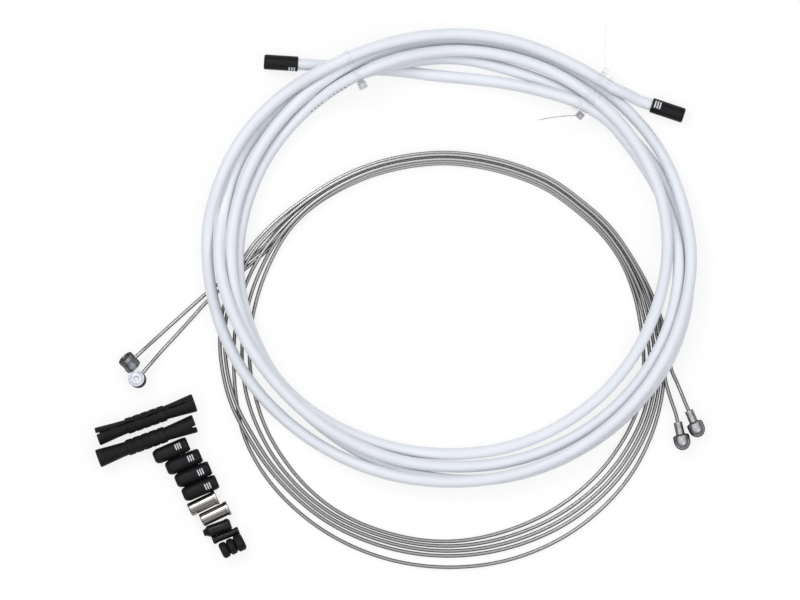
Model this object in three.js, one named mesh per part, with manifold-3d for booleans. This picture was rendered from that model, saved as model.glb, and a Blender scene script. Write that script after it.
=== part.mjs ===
import * as THREE from 'three';
import { mergeVertices } from 'three/addons/utils/BufferGeometryUtils.js';
import Module from 'manifold-3d';

// Bicycle brake cable set in millimetres, laid flat as it is sold: +X right, +Y away, +Z up, floor at z = 0.

// Sizes
// The cords' plan places below are in hundredths of the coil's radius, their heights in millimetres.
const coilRadius = 100;
const seat = 0.3;
const housingDiameter = 5;
const housingStep = 12;
const housingSides = 8;
const wireDiameter = 1.6;
const wireStep = 9;
const wireSides = 8;

const ferruleDiameter = 6.4;
const ferruleLength = 14.5;
const ferruleSocket = 5.6;
const ferruleSocketDepth = 11.3;
const ferruleWireHole = 2.2;
const ferruleChamfer = 0.5;
const looseFerruleDiameter = 6.2;
const looseFerruleLength = 15.8;
const looseFerruleSocket = 5.3;
const looseFerruleSocketDepth = 12;
const looseFerruleChamfer = 1;

const silverDiameter = 5.2;
const silverRimDiameter = 5.8;
const silverRimLength = 1.4;
const silverLength = 12.9;
const silverSocket = 4.4;
const silverSocketDepth = 10.5;
const silverWireHole = 2;

const barrelHeadDiameter = 7;
const barrelHeadLength = 6;
const barrelHeadChamfer = 0.5;
const lyingTilt = 20;
const standingTilt = 10;
const pearHeadDiameter = 7;
const pearHeadLength = 12.2;
const pearStemDiameter = 3.6;
const pearStemLength = 5.5;
const pearEdge = 0.4;

const sleeveLength = 44;
const sleeveMouthDiameter = 8;
const sleeveWaistDiameter = 5.9;
const sleeveBore = 4.6;
const sleeveMouthBore = 6.2;
const sleeveMouthDepth = 12;
const sleeveRibDiameter = 6.9;
const sleeveRibCount = 5;
const sleeveRibWidth = 3.1;
const sleeveRibGroove = 0.5;
const sleeveRibDepth = 0.3;
const sleeveSlitWidth = 0.8;
const sleeveNotchWidth = 0.8;
const sleeveNotchLength = 1.8;

const noseLength = 12.3;
const noseTipDiameter = 2.6;
const noseTipLength = 2.4;
const noseBodyDiameter = 4.6;
const noseFlangeDiameter = 5;
const noseFlangeLength = 2.2;
const stemLength = 12;
const stemDiameter = 2.4;
const stemFlareDiameter = 3.6;
const stemFlareLength = 2;
const stemFlangeDiameter = 3;
const stemFlangeLength = 1.2;
const endPieceHole = 1;

const donutHole = 1.6;
const donutEdge = 0.5;
const donutGap = 0.3;
const donuts = [
  { name: 'donut_a', diameter: 7, width: 3.1 },
  { name: 'donut_b', diameter: 7, width: 3.1 },
  { name: 'donut_c', diameter: 7.4, width: 3.7 },
];

const strapWidth = 2.5;
const strapThickness = 0.9;
const tieHeadSize = [3.4, 4.2, 4.4];
const tieTailHeight = 2.2;
const tieTailThickness = 0.8;

const roundSegments = 18;

// Middle of the whole set on the floor plan, which becomes the origin. It grows with the coil like the cords.
const setMiddle = [-0.2, 1.2];

// Routes
// Each turn is a row of stations: bearing in degrees clockwise from +Y, distance from the coil's middle, height.
// The leads and tails are plain points. Where a cord carries a ferrule or a head, it ends at that piece's middle.
const housingMiddle = [22.1, 17.2];
const housingFlatness = 0.95;
const housingBearingStep = 6;
const housingLead = [
  [-54.4, 100.5, ferruleDiameter / 2], [-43.4, 99.8, 3.2], [-22, 98.3, 3.9], [-12, 97.6, 3.8], [-0.9, 96.8, 3.6],
  [14.7, 94.9, 2.7], [30.2, 93.4, 2.8], [45.5, 91.4, 4.2], [61.1, 88, 7.2], [76.6, 82.9, 9.2],
];
const housingTurns = [
  [47, 90.4, 8.6], [60, 91.1, 7.2], [75, 93.6, 6.5], [90, 96.3, 7.8], [105, 96.9, 7.5],
  [120, 96.8, 7], [135, 96.2, 5.2], [150, 95.3, 3.6], [165, 94.4, 2.6], [180, 93.4, 3.7],
  [195, 93.2, 6.7], [210, 92.9, 9.7], [217, 92.9, 11.7], [225, 93, 13.2], [240, 94, 15.5],
  [255, 96.3, 15.7], [262, 97.7, 14.6], [270, 98.9, 12.8], [278, 99.4, 9.3], [285, 99.4, 6.4],
  [292, 100.2, 5], [300, 100.4, 3.6], [308, 99.7, 2.6], [315, 98.6, 2.5], [322, 95.8, 3],
  [328, 93.4, 5.6], [333, 91.7, 8.4], [338, 90.6, 9.3], [345, 89.9, 8.5], [352, 89.6, 5.4],
  [360, 89.4, 3], [375, 87.9, 2.5], [390, 88.5, 3], [398, 89.7, 3.8], [405, 91.1, 3.4],
  [420, 94.6, 2.5], [435, 97.9, 3], [450, 100.4, 4.4], [465, 102.4, 5.7], [480, 102.9, 6.3],
  [495, 102.2, 4.8], [510, 101.6, 3.4], [525, 100.9, 2.6], [540, 99.4, 2.5], [555, 97, 2.5],
  [570, 94.4, 2.5], [585, 92.8, 2.6], [600, 91.8, 4.8], [615, 91.2, 6.3], [630, 91, 6.4],
  [645, 90.6, 5.4], [660, 90.6, 4.6], [675, 90.6, 5], [682, 90.7, 7.2], [687, 90.8, 10.4],
  [693, 91, 13.6], [698, 91.3, 14.7], [705, 91.7, 13.6], [712, 92.2, 10.5], [720, 92.7, 7.4],
  [735, 93.2, 7], [750, 93.6, 7.8], [757, 93.6, 9.8], [762, 93.6, 12.5], [768, 93.6, 13],
  [780, 93.4, 12.7], [795, 92.8, 12.2], [810, 91.4, 10.9], [825, 89.7, 8.2], [840, 88.8, 6.4],
  [855, 88.3, 4.2], [870, 88, 2.7], [885, 87.9, 2.5], [900, 87.7, 2.5], [915, 88.3, 2.8],
  [930, 89.6, 5.4], [937, 90.4, 6.8], [945, 91.4, 8], [960, 92.3, 10.3], [975, 93.3, 11.2],
  [990, 93.8, 10.9], [1005, 94.5, 9.4], [1020, 95.1, 8.8], [1035, 95.7, 7.8], [1042, 96.1, 8.6],
  [1048, 96.4, 10.3], [1053, 96.6, 10.6], [1058, 96.8, 9.6], [1065, 97.2, 7.4], [1072, 97.6, 5],
  [1080, 98.1, 3.4], [1095, 98.4, 2.6], [1110, 98.7, 3], [1118, 99, 3.8], [1125, 99.4, 3.4],
  [1140, 100.6, 4], [1155, 100.9, 7.6], [1170, 101.7, 9.8], [1185, 101.2, 11], [1200, 100.9, 11.4],
  [1215, 100.7, 10], [1230, 100.5, 8.8], [1245, 100.4, 7.9], [1260, 100.2, 7.8], [1275, 100.5, 7],
  [1290, 100.8, 4.2], [1305, 101.4, 3.2], [1313, 101.9, 4.3], [1320, 102.3, 4.8], [1335, 103, 5.9],
  [1350, 104, 7.4], [1358, 104.7, 8.5], [1365, 104.6, 9.7], [1380, 104.2, 8.8], [1395, 102.5, 8.8],
  [1402, 101.3, 11], [1408, 100.3, 14], [1413, 99.9, 14.9], [1418, 99.8, 14.2], [1425, 99.9, 12.2],
  [1432, 100, 10.2], [1440, 100.2, 8.8], [1455, 100.5, 7.8], [1470, 100.7, 8.4], [1478, 101.6, 8.6],
];
const housingTail = [
  [90.6, 89.6, 8.2], [96.5, 86.9, 6], [101.2, 84.5, 4], [106, 82.7, 3.2], [117.5, 78.85, ferruleDiameter / 2],
];

// The wires' coil is round. Its middle lies nearer than the housing's, so the wires show inside the housing.
const wireMiddle = [20.4, -26.6];
const wireFlatness = 1;
const wireBearingStep = 5;
const shortLead = [
  [-112.3, -24.7, restingHeight(barrelHeadDiameter, barrelHeadLength, lyingTilt)], [-109.4, -22.1, 3.9],
  [-104.5, -17.6, 2.3], [-96, -9.9, 1], [-89, -3.6, 0.8], [-82.4, 2.2, 0.8],
];
const shortTurns = [
  [292, 99.5, 0.8], [300, 93, 0.8], [310, 91.2, 0.8], [320, 90.3, 0.8], [330, 89.5, 0.8],
  [340, 88.8, 0.8], [350, 88.1, 0.8], [360, 87.8, 0.8], [370, 87.4, 0.8], [380, 87.5, 0.8],
  [390, 88, 0.8], [400, 87.9, 0.8], [410, 88.6, 0.8], [420, 88.8, 0.8], [430, 89.9, 0.8],
  [440, 91.3, 0.8], [450, 92.2, 0.8], [460, 92.3, 0.8], [480, 91.8, 0.8], [500, 90.2, 0.8],
  [520, 88.7, 0.8], [540, 87.8, 0.8], [560, 88.3, 0.8], [580, 89.9, 0.8], [600, 92, 0.8],
  [610, 92.5, 0.8], [620, 91.5, 0.8], [630, 91.2, 0.8], [640, 91.6, 0.8], [650, 92, 1.2],
  [657, 91.7, 2.7], [663, 91.2, 2.7], [670, 90.2, 2.65], [680, 89.5, 2.65], [690, 88.6, 2.5],
  [700, 87.85, 2.5], [710, 87.15, 2.5], [720, 86.85, 2.5], [730, 86.45, 2.5], [740, 86.55, 2.5],
  [750, 87.05, 2.5], [760, 86.9, 2.5], [770, 87.7, 2.5], [780, 87.95, 2.5], [790, 88.7, 2.4],
  [795, 89.1, 1.9], [800, 89.4, 1], [810, 90.2, 0.8], [820, 90.4, 0.8], [840, 88.7, 0.8],
  [860, 86.1, 0.8], [880, 83.8, 0.8], [900, 83, 0.8], [920, 83.7, 0.8], [940, 86, 0.8],
  [950, 87.3, 0.8], [960, 89.1, 0.9], [965, 90.1, 1.7], [970, 91.2, 2.7], [975, 92.9, 2.75],
  [980, 94.4, 1.7], [985, 95.5, 0.9], [990, 96.6, 0.8], [1003, 98.2, 2.4], [1010, 98, 2.7],
  [1020, 96.7, 2.7], [1030, 94.1, 2.6], [1040, 91.7, 2.55], [1050, 90.6, 2.5], [1060, 89.75, 2.5],
  [1070, 89.05, 2.5], [1080, 88.75, 2.5], [1090, 88.35, 2.5], [1100, 88.45, 2.5], [1110, 88.95, 2.5],
  [1120, 88.8, 2.5], [1130, 89.6, 2.5], [1140, 89.8, 2.5], [1150, 91, 2.5], [1160, 92.8, 2.3],
  [1167, 94.4, 1.2], [1172, 95.1, 0.9],
];
const shortTail = [
  [117.8, -35.6, 1.4], [120.3, -41.6, 3], [121.5, -44.7, 3.3], [122.7, -47.4, pearHeadDiameter / 2],
];
const longLead = [
  [-109.3, -31.5, restingHeight(barrelHeadLength, barrelHeadDiameter, standingTilt)], [-106.5, -28.2, 3.1],
  [-101.5, -22.4, 1.3], [-95, -15.4, 0.8], [-88.4, -8.1, 0.8], [-81.6, -0.7, 0.8],
];
const longTurns = [
  [292, 96.9, 0.8], [300, 90.9, 0.8], [310, 88.3, 0.8], [320, 87.1, 0.8], [330, 85.9, 0.8],
  [340, 85, 0.8], [350, 84.3, 0.8], [360, 84, 0.8], [370, 83.6, 0.8], [380, 83.7, 0.8],
  [390, 84.2, 0.8], [400, 84.1, 0.8], [410, 84.8, 0.8], [420, 85, 0.8], [430, 84.2, 0.8],
  [440, 83.4, 0.8], [450, 83.4, 0.8], [460, 83.6, 0.8], [480, 80.9, 0.8], [500, 78.1, 0.8],
  [520, 76.5, 0.8], [540, 76.8, 0.8], [560, 77.6, 0.8], [580, 79.8, 0.8], [600, 81.5, 0.8],
  [610, 82.6, 0.8], [620, 83.4, 0.8], [630, 84.4, 0.8], [650, 85.7, 0.8], [660, 86.6, 1.4],
  [670, 87.6, 2.65], [680, 87.3, 2.65], [690, 86.6, 2.5], [700, 85.9, 2.5], [710, 85.2, 2.5],
  [720, 84.9, 2.5], [730, 84.5, 2.5], [740, 84.6, 2.5], [750, 85.1, 2.5], [760, 84.9, 2.5],
  [770, 85.7, 2.5], [780, 85.9, 2.5], [790, 85.6, 2.3], [800, 85.5, 1], [810, 86, 0.8],
  [820, 86.5, 0.8], [840, 84.2, 0.8], [860, 81.2, 0.8], [880, 79.1, 0.8], [900, 78.8, 0.8],
  [920, 79.5, 0.8], [940, 82, 0.8], [960, 84.5, 0.8], [970, 85.7, 0.8], [980, 86.9, 0.8],
  [990, 87.6, 0.8], [1010, 88.5, 0.8], [1016, 88.7, 1.2], [1020, 88.9, 2], [1024, 89, 3.2],
  [1030, 88.9, 4.1], [1040, 88.5, 4.2], [1050, 87.65, 4.15], [1060, 86.9, 4.15], [1070, 86.2, 4.15],
  [1080, 85.9, 4.15], [1090, 85.5, 4.15], [1100, 85.6, 4.15], [1110, 86.1, 4.15], [1120, 85.9, 4.15],
  [1130, 86.7, 4.15], [1140, 86.9, 4.15], [1150, 87.1, 3.7], [1155, 87.3, 2.6], [1160, 87.5, 1.4],
  [1170, 88.1, 0.8], [1180, 88.5, 0.8], [1200, 86.5, 0.8], [1220, 83.7, 0.8], [1240, 81.5, 0.8],
  [1260, 80.9, 0.8], [1280, 81.5, 0.8], [1300, 84, 0.8], [1310, 85.3, 0.8], [1320, 87.1, 0.8],
  [1330, 89.1, 1.8], [1335, 90.8, 2.6], [1340, 92.3, 2.6], [1345, 93.5, 1.6], [1350, 94.5, 0.8],
  [1363, 96.2, 2.2], [1370, 96, 2.7], [1380, 94.7, 2.7], [1390, 92.3, 3.2], [1400, 90.7, 4.3],
  [1410, 89.6, 4.2], [1420, 88.8, 4.15], [1430, 88.1, 4.15], [1440, 87.8, 4.15], [1450, 87.4, 4.15],
  [1460, 87.5, 4.15], [1470, 88, 4.15], [1480, 87.8, 4.15], [1490, 88.6, 4.15], [1500, 88.9, 4.2],
  [1510, 89.6, 4.2], [1520, 90.4, 3.6], [1528, 91.5, 2.7], [1535, 92.9, 2.7],
];
const longTail = [
  [115.2, -42.7, 2.2], [117.3, -48.9, 3.2], [118.1, -52.3, pearHeadDiameter / 2],
];

// The loose fittings lie in a fan beside the coil. Each starts `slide` further along the axis of the one before it
// and clears its side by `gap`. Headings are in degrees from +X toward +Y.
const fanStart = [-130.2, -55.1];
const sleevePlaces = [
  { name: 'frame_sleeve_a', heading: 19.4, slide: 0, gap: 0, slitTurn: -25, notchTurn: -19, notchAtStart: true },
  { name: 'frame_sleeve_b', heading: 20, slide: -2.8, gap: 0.9, slitTurn: 150, notchTurn: 17, notchAtStart: false },
];
const looseFerrulePlaces = [
  { name: 'black_ferrule_a', heading: 23.3, slide: 22.5, gap: 0.8 },
  { name: 'black_ferrule_b', heading: 23, slide: 3, gap: 0.3 },
  { name: 'black_ferrule_c', heading: 23, slide: 1.6, gap: 0.3 },
  { name: 'black_ferrule_d', heading: 23, slide: 0.5, gap: 0.3 },
];
const silverPlaces = [
  { name: 'silver_ferrule_a', heading: 26, slide: 0.1, gap: 0.8 },
  { name: 'silver_ferrule_b', heading: 25.5, slide: 2.6, gap: 0.4 },
];
const nosePlace = { name: 'end_nose', heading: 19.5, slide: -1.5, gap: 0.1 };
const stemPlace = { name: 'end_stem', heading: 21.4, slide: 2.6, gap: 0.1 };
const donutRow = { heading: 26, slide: 1.8, gap: 0.4 };

const tiePlaces = [
  { name: 'tie_left', bearing: 333.8, headSide: -1, tail: null },
  { name: 'tie_right', bearing: 40.4, headSide: -1, tail: [-16.6, -1.9] },
  { name: 'tie_loose', bearing: 38, headSide: 1, tail: [0.3, 19.1] },
];

// Colours
const white = finish(0xeceef6, 0.42, 0);
const steel = finish(0x9c9b98, 0.34, 1);
const darkZinc = finish(0x6d6f72, 0.42, 0.9);
const paleZinc = finish(0xb9babb, 0.38, 0.9);
const blackAlloy = finish(0x2b2b2e, 0.55, 0.1);
const nickel = finish(0xcfc8bd, 0.22, 1);
const blackRubber = finish(0x303033, 0.8, 0);
const clearNylon = finish(0xe9ecec, 0.4, 0);

const solids = await Module();
solids.setup();
const up = new THREE.Vector3(0, 1, 0);
const group = new THREE.Group();
group.position.set(-plan(setMiddle[0]), -plan(setMiddle[1]), 0);

// A plan place in hundredths of the coil's radius, as millimetres.
function plan(hundredths) {
  return (hundredths / 100) * coilRadius;
}

// Height at which the middle of a tilted cylinder rests: `level` is its size along the floor when it isn't tilted.
function restingHeight(upright, level, tilt) {
  const turn = THREE.MathUtils.degToRad(tilt);
  return (upright * Math.cos(turn) + level * Math.sin(turn)) / 2;
}

function finish(color, roughness, metalness) {
  return new THREE.MeshStandardMaterial({ color, roughness, metalness });
}

function add(name, geometry, material) {
  const mesh = new THREE.Mesh(geometry, material);
  mesh.name = name;
  group.add(mesh);
  return mesh;
}

// Smooth curve through the stations, read at even bearings. The slope at a station follows its two neighbours.
function readStations(stations, bearingStep) {
  const last = stations.length - 1;
  const slope = (i, k) => (stations[i + 1][k] - stations[i][k]) / (stations[i + 1][0] - stations[i][0]);
  const slopeAt = (i, k) => {
    if (i === 0) return slope(0, k);
    if (i === last) return slope(last - 1, k);
    const before = stations[i][0] - stations[i - 1][0];
    const after = stations[i + 1][0] - stations[i][0];
    return (slope(i, k) * before + slope(i - 1, k) * after) / (before + after);
  };
  const first = stations[0][0];
  const count = Math.round((stations[last][0] - first) / bearingStep);
  const spread = (stations[last][0] - first) / count;
  const rows = [];
  let i = 0;
  for (let n = 0; n <= count; n += 1) {
    const bearing = first + n * spread;
    while (i < last - 1 && stations[i + 1][0] < bearing) i += 1;
    const span = stations[i + 1][0] - stations[i][0];
    const u = (bearing - stations[i][0]) / span;
    const row = [bearing];
    for (const k of [1, 2]) {
      row.push(
        (2 * u ** 3 - 3 * u ** 2 + 1) * stations[i][k]
        + (u ** 3 - 2 * u ** 2 + u) * span * slopeAt(i, k)
        + (3 * u ** 2 - 2 * u ** 3) * stations[i + 1][k]
        + (u ** 3 - u ** 2) * span * slopeAt(i + 1, k),
      );
    }
    rows.push(row);
  }
  return rows;
}

// The whole route of a cord: its lead, its turns about the coil's middle, and its tail.
function cordRoute(lead, turns, tail, middle, flatness, bearingStep, diameter) {
  const point = ([x, y, z]) => new THREE.Vector3(plan(x), plan(y), z);
  const points = lead.map(point);
  for (const [bearing, reach, height] of readStations(turns, bearingStep)) {
    const angle = THREE.MathUtils.degToRad(bearing);
    const x = middle[0] + reach * Math.sin(angle);
    const y = middle[1] + flatness * reach * Math.cos(angle);
    points.push(point([x, y, height]));
  }
  points.push(...tail.map(point));
  for (const p of points) p.z = Math.max(p.z, diameter / 2);
  const route = new THREE.CatmullRomCurve3(points);
  route.arcLengthDivisions = points.length * 12;
  return route;
}

function sweep(route, diameter, sides, step) {
  const section = new THREE.Shape();
  for (let i = 0; i < sides; i += 1) {
    const angle = (i / sides) * 2 * Math.PI;
    const x = (diameter / 2) * Math.cos(angle);
    const y = (diameter / 2) * Math.sin(angle);
    if (i === 0) section.moveTo(x, y);
    else section.lineTo(x, y);
  }
  const steps = Math.round(route.getLength() / step);
  return new THREE.ExtrudeGeometry(section, { steps, extrudePath: route, bevelEnabled: false });
}

// Unit direction that leaves the cord at its start (0) or at its end (1).
function leaving(route, end) {
  const direction = route.getTangentAt(end);
  return end === 0 ? direction.negate() : direction;
}

// A turned piece: profile rows are [diameter, distance along the axis] and run round the section.
function turned(profile, segments = roundSegments) {
  const points = profile.map(([diameter, along]) => new THREE.Vector2(diameter / 2, along));
  return new THREE.LatheGeometry(points, segments);
}

function alongAxis(mesh, start, direction) {
  mesh.position.copy(start);
  mesh.quaternion.setFromUnitVectors(up, direction.clone().normalize());
  return mesh;
}

function headingOf(degrees) {
  const turn = THREE.MathUtils.degToRad(degrees);
  return new THREE.Vector3(Math.cos(turn), Math.sin(turn), 0);
}

// Lays a turned piece of the fan on the floor, beside the one before it.
function layDown(mesh, { heading, slide, gap }, diameter, widest = diameter) {
  const before = headingOf(fan.heading);
  const aside = new THREE.Vector3(before.y, -before.x, 0);
  fan.start.addScaledVector(before, slide).addScaledVector(aside, fan.radius + gap + diameter / 2);
  fan.heading = heading;
  fan.radius = diameter / 2;
  return alongAxis(mesh, fan.start.clone().setZ(widest / 2), headingOf(heading));
}

function toSolid(geometry) {
  const plain = geometry.clone();
  plain.deleteAttribute('normal');
  plain.deleteAttribute('uv');
  const merged = mergeVertices(plain, 1e-4);
  return new solids.Manifold(new solids.Mesh({
    numProp: 3,
    vertProperties: Float32Array.from(merged.attributes.position.array),
    triVerts: Uint32Array.from(merged.index.array),
  }));
}

function toGeometry(solid) {
  const mesh = solid.getMesh();
  const geometry = new THREE.BufferGeometry();
  geometry.setAttribute('position', new THREE.BufferAttribute(mesh.vertProperties, 3));
  geometry.setIndex(new THREE.BufferAttribute(mesh.triVerts, 1));
  return geometry;
}

// End cap for a cut housing: a socket at the far end, a small wire hole through the closed end.
function ferruleProfile(diameter, length, socket, socketDepth, hole, chamfer) {
  return [
    [hole, 0],
    [diameter - 2 * chamfer, 0],
    [diameter, chamfer],
    [diameter, length],
    [socket, length],
    [socket, length - socketDepth],
    [hole, length - socketDepth],
    [hole, 0],
  ];
}

function silverProfile() {
  return [
    [silverWireHole, 0],
    [silverDiameter - 2 * ferruleChamfer, 0],
    [silverDiameter, ferruleChamfer],
    [silverDiameter, silverLength - silverRimLength],
    [silverRimDiameter, silverLength - silverRimLength],
    [silverRimDiameter, silverLength],
    [silverSocket, silverLength],
    [silverSocket, silverLength - silverSocketDepth],
    [silverWireHole, silverLength - silverSocketDepth],
    [silverWireHole, 0],
  ];
}

function barrelProfile() {
  const flat = barrelHeadDiameter - 2 * barrelHeadChamfer;
  return [
    [0, 0],
    [flat, 0],
    [barrelHeadDiameter, barrelHeadChamfer],
    [barrelHeadDiameter, barrelHeadLength - barrelHeadChamfer],
    [flat, barrelHeadLength],
    [0, barrelHeadLength],
  ];
}

// A thin stem that the wire enters, a flat shoulder, a short cylinder and a domed end.
function pearProfile() {
  const radius = pearHeadDiameter / 2;
  const domeStart = pearHeadLength - radius;
  const rows = [
    [0, 0],
    [pearStemDiameter, 0],
    [pearStemDiameter, pearStemLength],
    [pearHeadDiameter - 2 * pearEdge, pearStemLength],
    [pearHeadDiameter, pearStemLength + pearEdge],
  ];
  const domeSteps = 5;
  for (let i = 0; i <= domeSteps; i += 1) {
    const angle = (i / domeSteps) * (Math.PI / 2);
    const diameter = i === domeSteps ? 0 : pearHeadDiameter * Math.cos(angle);
    rows.push([diameter, domeStart + radius * Math.sin(angle)]);
  }
  return rows;
}

// Rubber sleeve: wide mouths that narrow to a ribbed middle.
function sleeveProfile() {
  const ribbed = sleeveRibCount * sleeveRibWidth + (sleeveRibCount - 1) * sleeveRibGroove;
  const ribStart = (sleeveLength - ribbed) / 2;
  const rows = [[sleeveMouthBore, 0], [sleeveMouthDiameter, 0], [sleeveWaistDiameter, ribStart]];
  for (let i = 0; i < sleeveRibCount; i += 1) {
    const from = ribStart + i * (sleeveRibWidth + sleeveRibGroove);
    const to = from + sleeveRibWidth;
    rows.push([sleeveRibDiameter, from], [sleeveRibDiameter, to]);
    if (i < sleeveRibCount - 1) {
      const floor = sleeveRibDiameter - 2 * sleeveRibDepth;
      rows.push([floor, to], [floor, to + sleeveRibGroove]);
    }
  }
  rows.push([sleeveWaistDiameter, ribStart + ribbed], [sleeveMouthDiameter, sleeveLength]);
  rows.push([sleeveMouthBore, sleeveLength], [sleeveBore, sleeveLength - sleeveMouthDepth]);
  rows.push([sleeveBore, sleeveMouthDepth], [sleeveMouthBore, 0]);
  return rows;
}

// The slit runs the whole length of one wall, and one mouth has a small notch.
function slitSleeve({ slitTurn, notchTurn, notchAtStart }) {
  const reach = sleeveMouthDiameter;
  const past = 1;
  const cutter = (width, from, to, turn) => {
    const box = new THREE.BoxGeometry(width, to - from, reach);
    box.translate(0, (from + to) / 2, reach / 2);
    box.rotateY(THREE.MathUtils.degToRad(turn));
    return toSolid(box);
  };
  const notchFrom = notchAtStart ? -past : sleeveLength - sleeveNotchLength;
  const notchTo = notchAtStart ? sleeveNotchLength : sleeveLength + past;
  const body = toSolid(turned(sleeveProfile()))
    .subtract(cutter(sleeveSlitWidth, -past, sleeveLength + past, slitTurn))
    .subtract(cutter(sleeveNotchWidth, notchFrom, notchTo, notchTurn));
  return toGeometry(body);
}

function noseProfile() {
  const flangeStart = noseLength - noseFlangeLength;
  return [
    [endPieceHole, 0],
    [noseTipDiameter, 0],
    [noseTipDiameter, noseTipLength / 2],
    [noseBodyDiameter, noseTipLength],
    [noseBodyDiameter, flangeStart],
    [noseFlangeDiameter, flangeStart + noseFlangeLength / 3],
    [noseFlangeDiameter, noseLength - noseFlangeLength / 3],
    [noseBodyDiameter, noseLength],
    [endPieceHole, noseLength],
    [endPieceHole, 0],
  ];
}

function stemProfile() {
  return [
    [endPieceHole, 0],
    [stemFlareDiameter, 0],
    [stemFlareDiameter, stemFlareLength / 2],
    [stemDiameter, stemFlareLength],
    [stemDiameter, stemLength - stemFlangeLength],
    [stemFlangeDiameter, stemLength - stemFlangeLength],
    [stemFlangeDiameter, stemLength],
    [endPieceHole, stemLength],
    [endPieceHole, 0],
  ];
}

function donutProfile({ diameter, width }) {
  return [
    [donutHole, 0],
    [diameter - 2 * donutEdge, 0],
    [diameter, donutEdge],
    [diameter, width - donutEdge],
    [diameter - 2 * donutEdge, width],
    [donutHole, width],
    [donutHole, 0],
  ];
}

// Convex outline round a set of discs [out, height] of one radius.
function outlineRound(discs, radius) {
  const sides = 12;
  const points = [];
  for (const [x, y] of discs) {
    for (let i = 0; i < sides; i += 1) {
      const angle = ((i + 0.5) / sides) * 2 * Math.PI;
      points.push([x + radius * Math.cos(angle), y + radius * Math.sin(angle)]);
    }
  }
  points.sort((a, b) => a[0] - b[0] || a[1] - b[1]);
  const turn = (o, a, b) => (a[0] - o[0]) * (b[1] - o[1]) - (a[1] - o[1]) * (b[0] - o[0]);
  const half = (list) => {
    const chain = [];
    for (const p of list) {
      while (chain.length > 1 && turn(chain[chain.length - 2], chain[chain.length - 1], p) <= 1e-6) chain.pop();
      chain.push(p);
    }
    chain.pop();
    return chain;
  };
  return [...half(points), ...half([...points].reverse())].map(([x, y]) => new THREE.Vector2(x, y));
}

// Cuts the housing's route with an upright plane that holds the line from the origin along the outward direction.
function cutRoute(points, origin, outward, across) {
  const found = [];
  for (let i = 1; i < points.length; i += 1) {
    const a = points[i - 1].clone().sub(origin);
    const b = points[i].clone().sub(origin);
    const sideA = a.dot(across);
    const sideB = b.dot(across);
    if (sideA * sideB <= 0 && a.dot(outward) > 0) {
      const cut = a.lerp(b, sideA / (sideA - sideB));
      found.push([cut.dot(outward), cut.z]);
    }
  }
  return found;
}

// A tie: the strap follows the outline of the turns that it holds, with a head on one side and a thin tail.
function tieGeometry(place, points) {
  const angle = THREE.MathUtils.degToRad(place.bearing);
  const origin = new THREE.Vector3(plan(housingMiddle[0]), plan(housingMiddle[1]), 0);
  const outward = new THREE.Vector3(Math.sin(angle), housingFlatness * Math.cos(angle), 0).normalize();
  const across = new THREE.Vector3(-outward.y, outward.x, 0);
  const discs = [];
  for (const shift of [-strapWidth / 2, 0, strapWidth / 2]) {
    const shifted = origin.clone().addScaledVector(across, shift);
    discs.push(...cutRoute(points, shifted, outward, across));
  }
  const inside = housingDiameter / 2 + seat;
  const outline = outlineRound(discs, inside + strapThickness);
  const strap = new THREE.Shape(outline);
  strap.holes.push(new THREE.Path(outlineRound(discs, inside)));
  const band = new THREE.ExtrudeGeometry(strap, { depth: strapWidth, bevelEnabled: false });
  band.translate(0, 0, -strapWidth / 2);

  const side = place.headSide;
  const edge = outline.reduce((best, p) => (p.x * side > best.x * side ? p : best));
  const head = new THREE.BoxGeometry(tieHeadSize[0], tieHeadSize[2], tieHeadSize[1]);
  const headOut = edge.x + side * (tieHeadSize[0] / 2 - strapThickness);
  head.translate(headOut, edge.y, 0);
  let solid = toSolid(band).add(toSolid(head));

  const frame = new THREE.Matrix4().makeBasis(outward, new THREE.Vector3(0, 0, 1), across.clone().negate());
  frame.setPosition(origin);
  if (place.tail) {
    const direction = new THREE.Vector3(place.tail[0], place.tail[1], 0);
    const length = direction.length() + tieHeadSize[0] / 2;
    const strip = new THREE.BoxGeometry(length, tieTailHeight, tieTailThickness);
    strip.translate(length / 2, 0, 0);
    const turnAway = Math.atan2(-direction.dot(across.clone().negate()), direction.dot(outward));
    strip.rotateY(turnAway);
    strip.translate(headOut, edge.y, 0);
    solid = solid.add(toSolid(strip));
  }
  const geometry = toGeometry(solid);
  geometry.applyMatrix4(frame);
  return geometry;
}

// Housing with its two end ferrules
const housingRoute = cordRoute(
  housingLead, housingTurns, housingTail, housingMiddle, housingFlatness, housingBearingStep, housingDiameter,
);
add('housing', sweep(housingRoute, housingDiameter, housingSides, housingStep), white);
for (const [name, end] of [['housing_ferrule_left', 0], ['housing_ferrule_right', 1]]) {
  const outward = leaving(housingRoute, end);
  const closedEnd = housingRoute.getPointAt(end).addScaledVector(outward, seat + ferruleLength - ferruleSocketDepth);
  const profile = ferruleProfile(
    ferruleDiameter, ferruleLength, ferruleSocket, ferruleSocketDepth, ferruleWireHole, ferruleChamfer,
  );
  alongAxis(add(name, turned(profile), blackAlloy), closedEnd, outward.negate());
}

// Zip ties
const housingPoints = housingRoute.getSpacedPoints(Math.round(housingRoute.getLength() / housingStep));
for (const place of tiePlaces) add(place.name, tieGeometry(place, housingPoints), clearNylon);

// Inner wires, each with a barrel head at its start and a pear head at its end
function innerWire(name, lead, turns, tail) {
  const route = cordRoute(lead, turns, tail, wireMiddle, wireFlatness, wireBearingStep, wireDiameter);
  add(name, sweep(route, wireDiameter, wireSides, wireStep), steel);
  return route;
}

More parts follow.
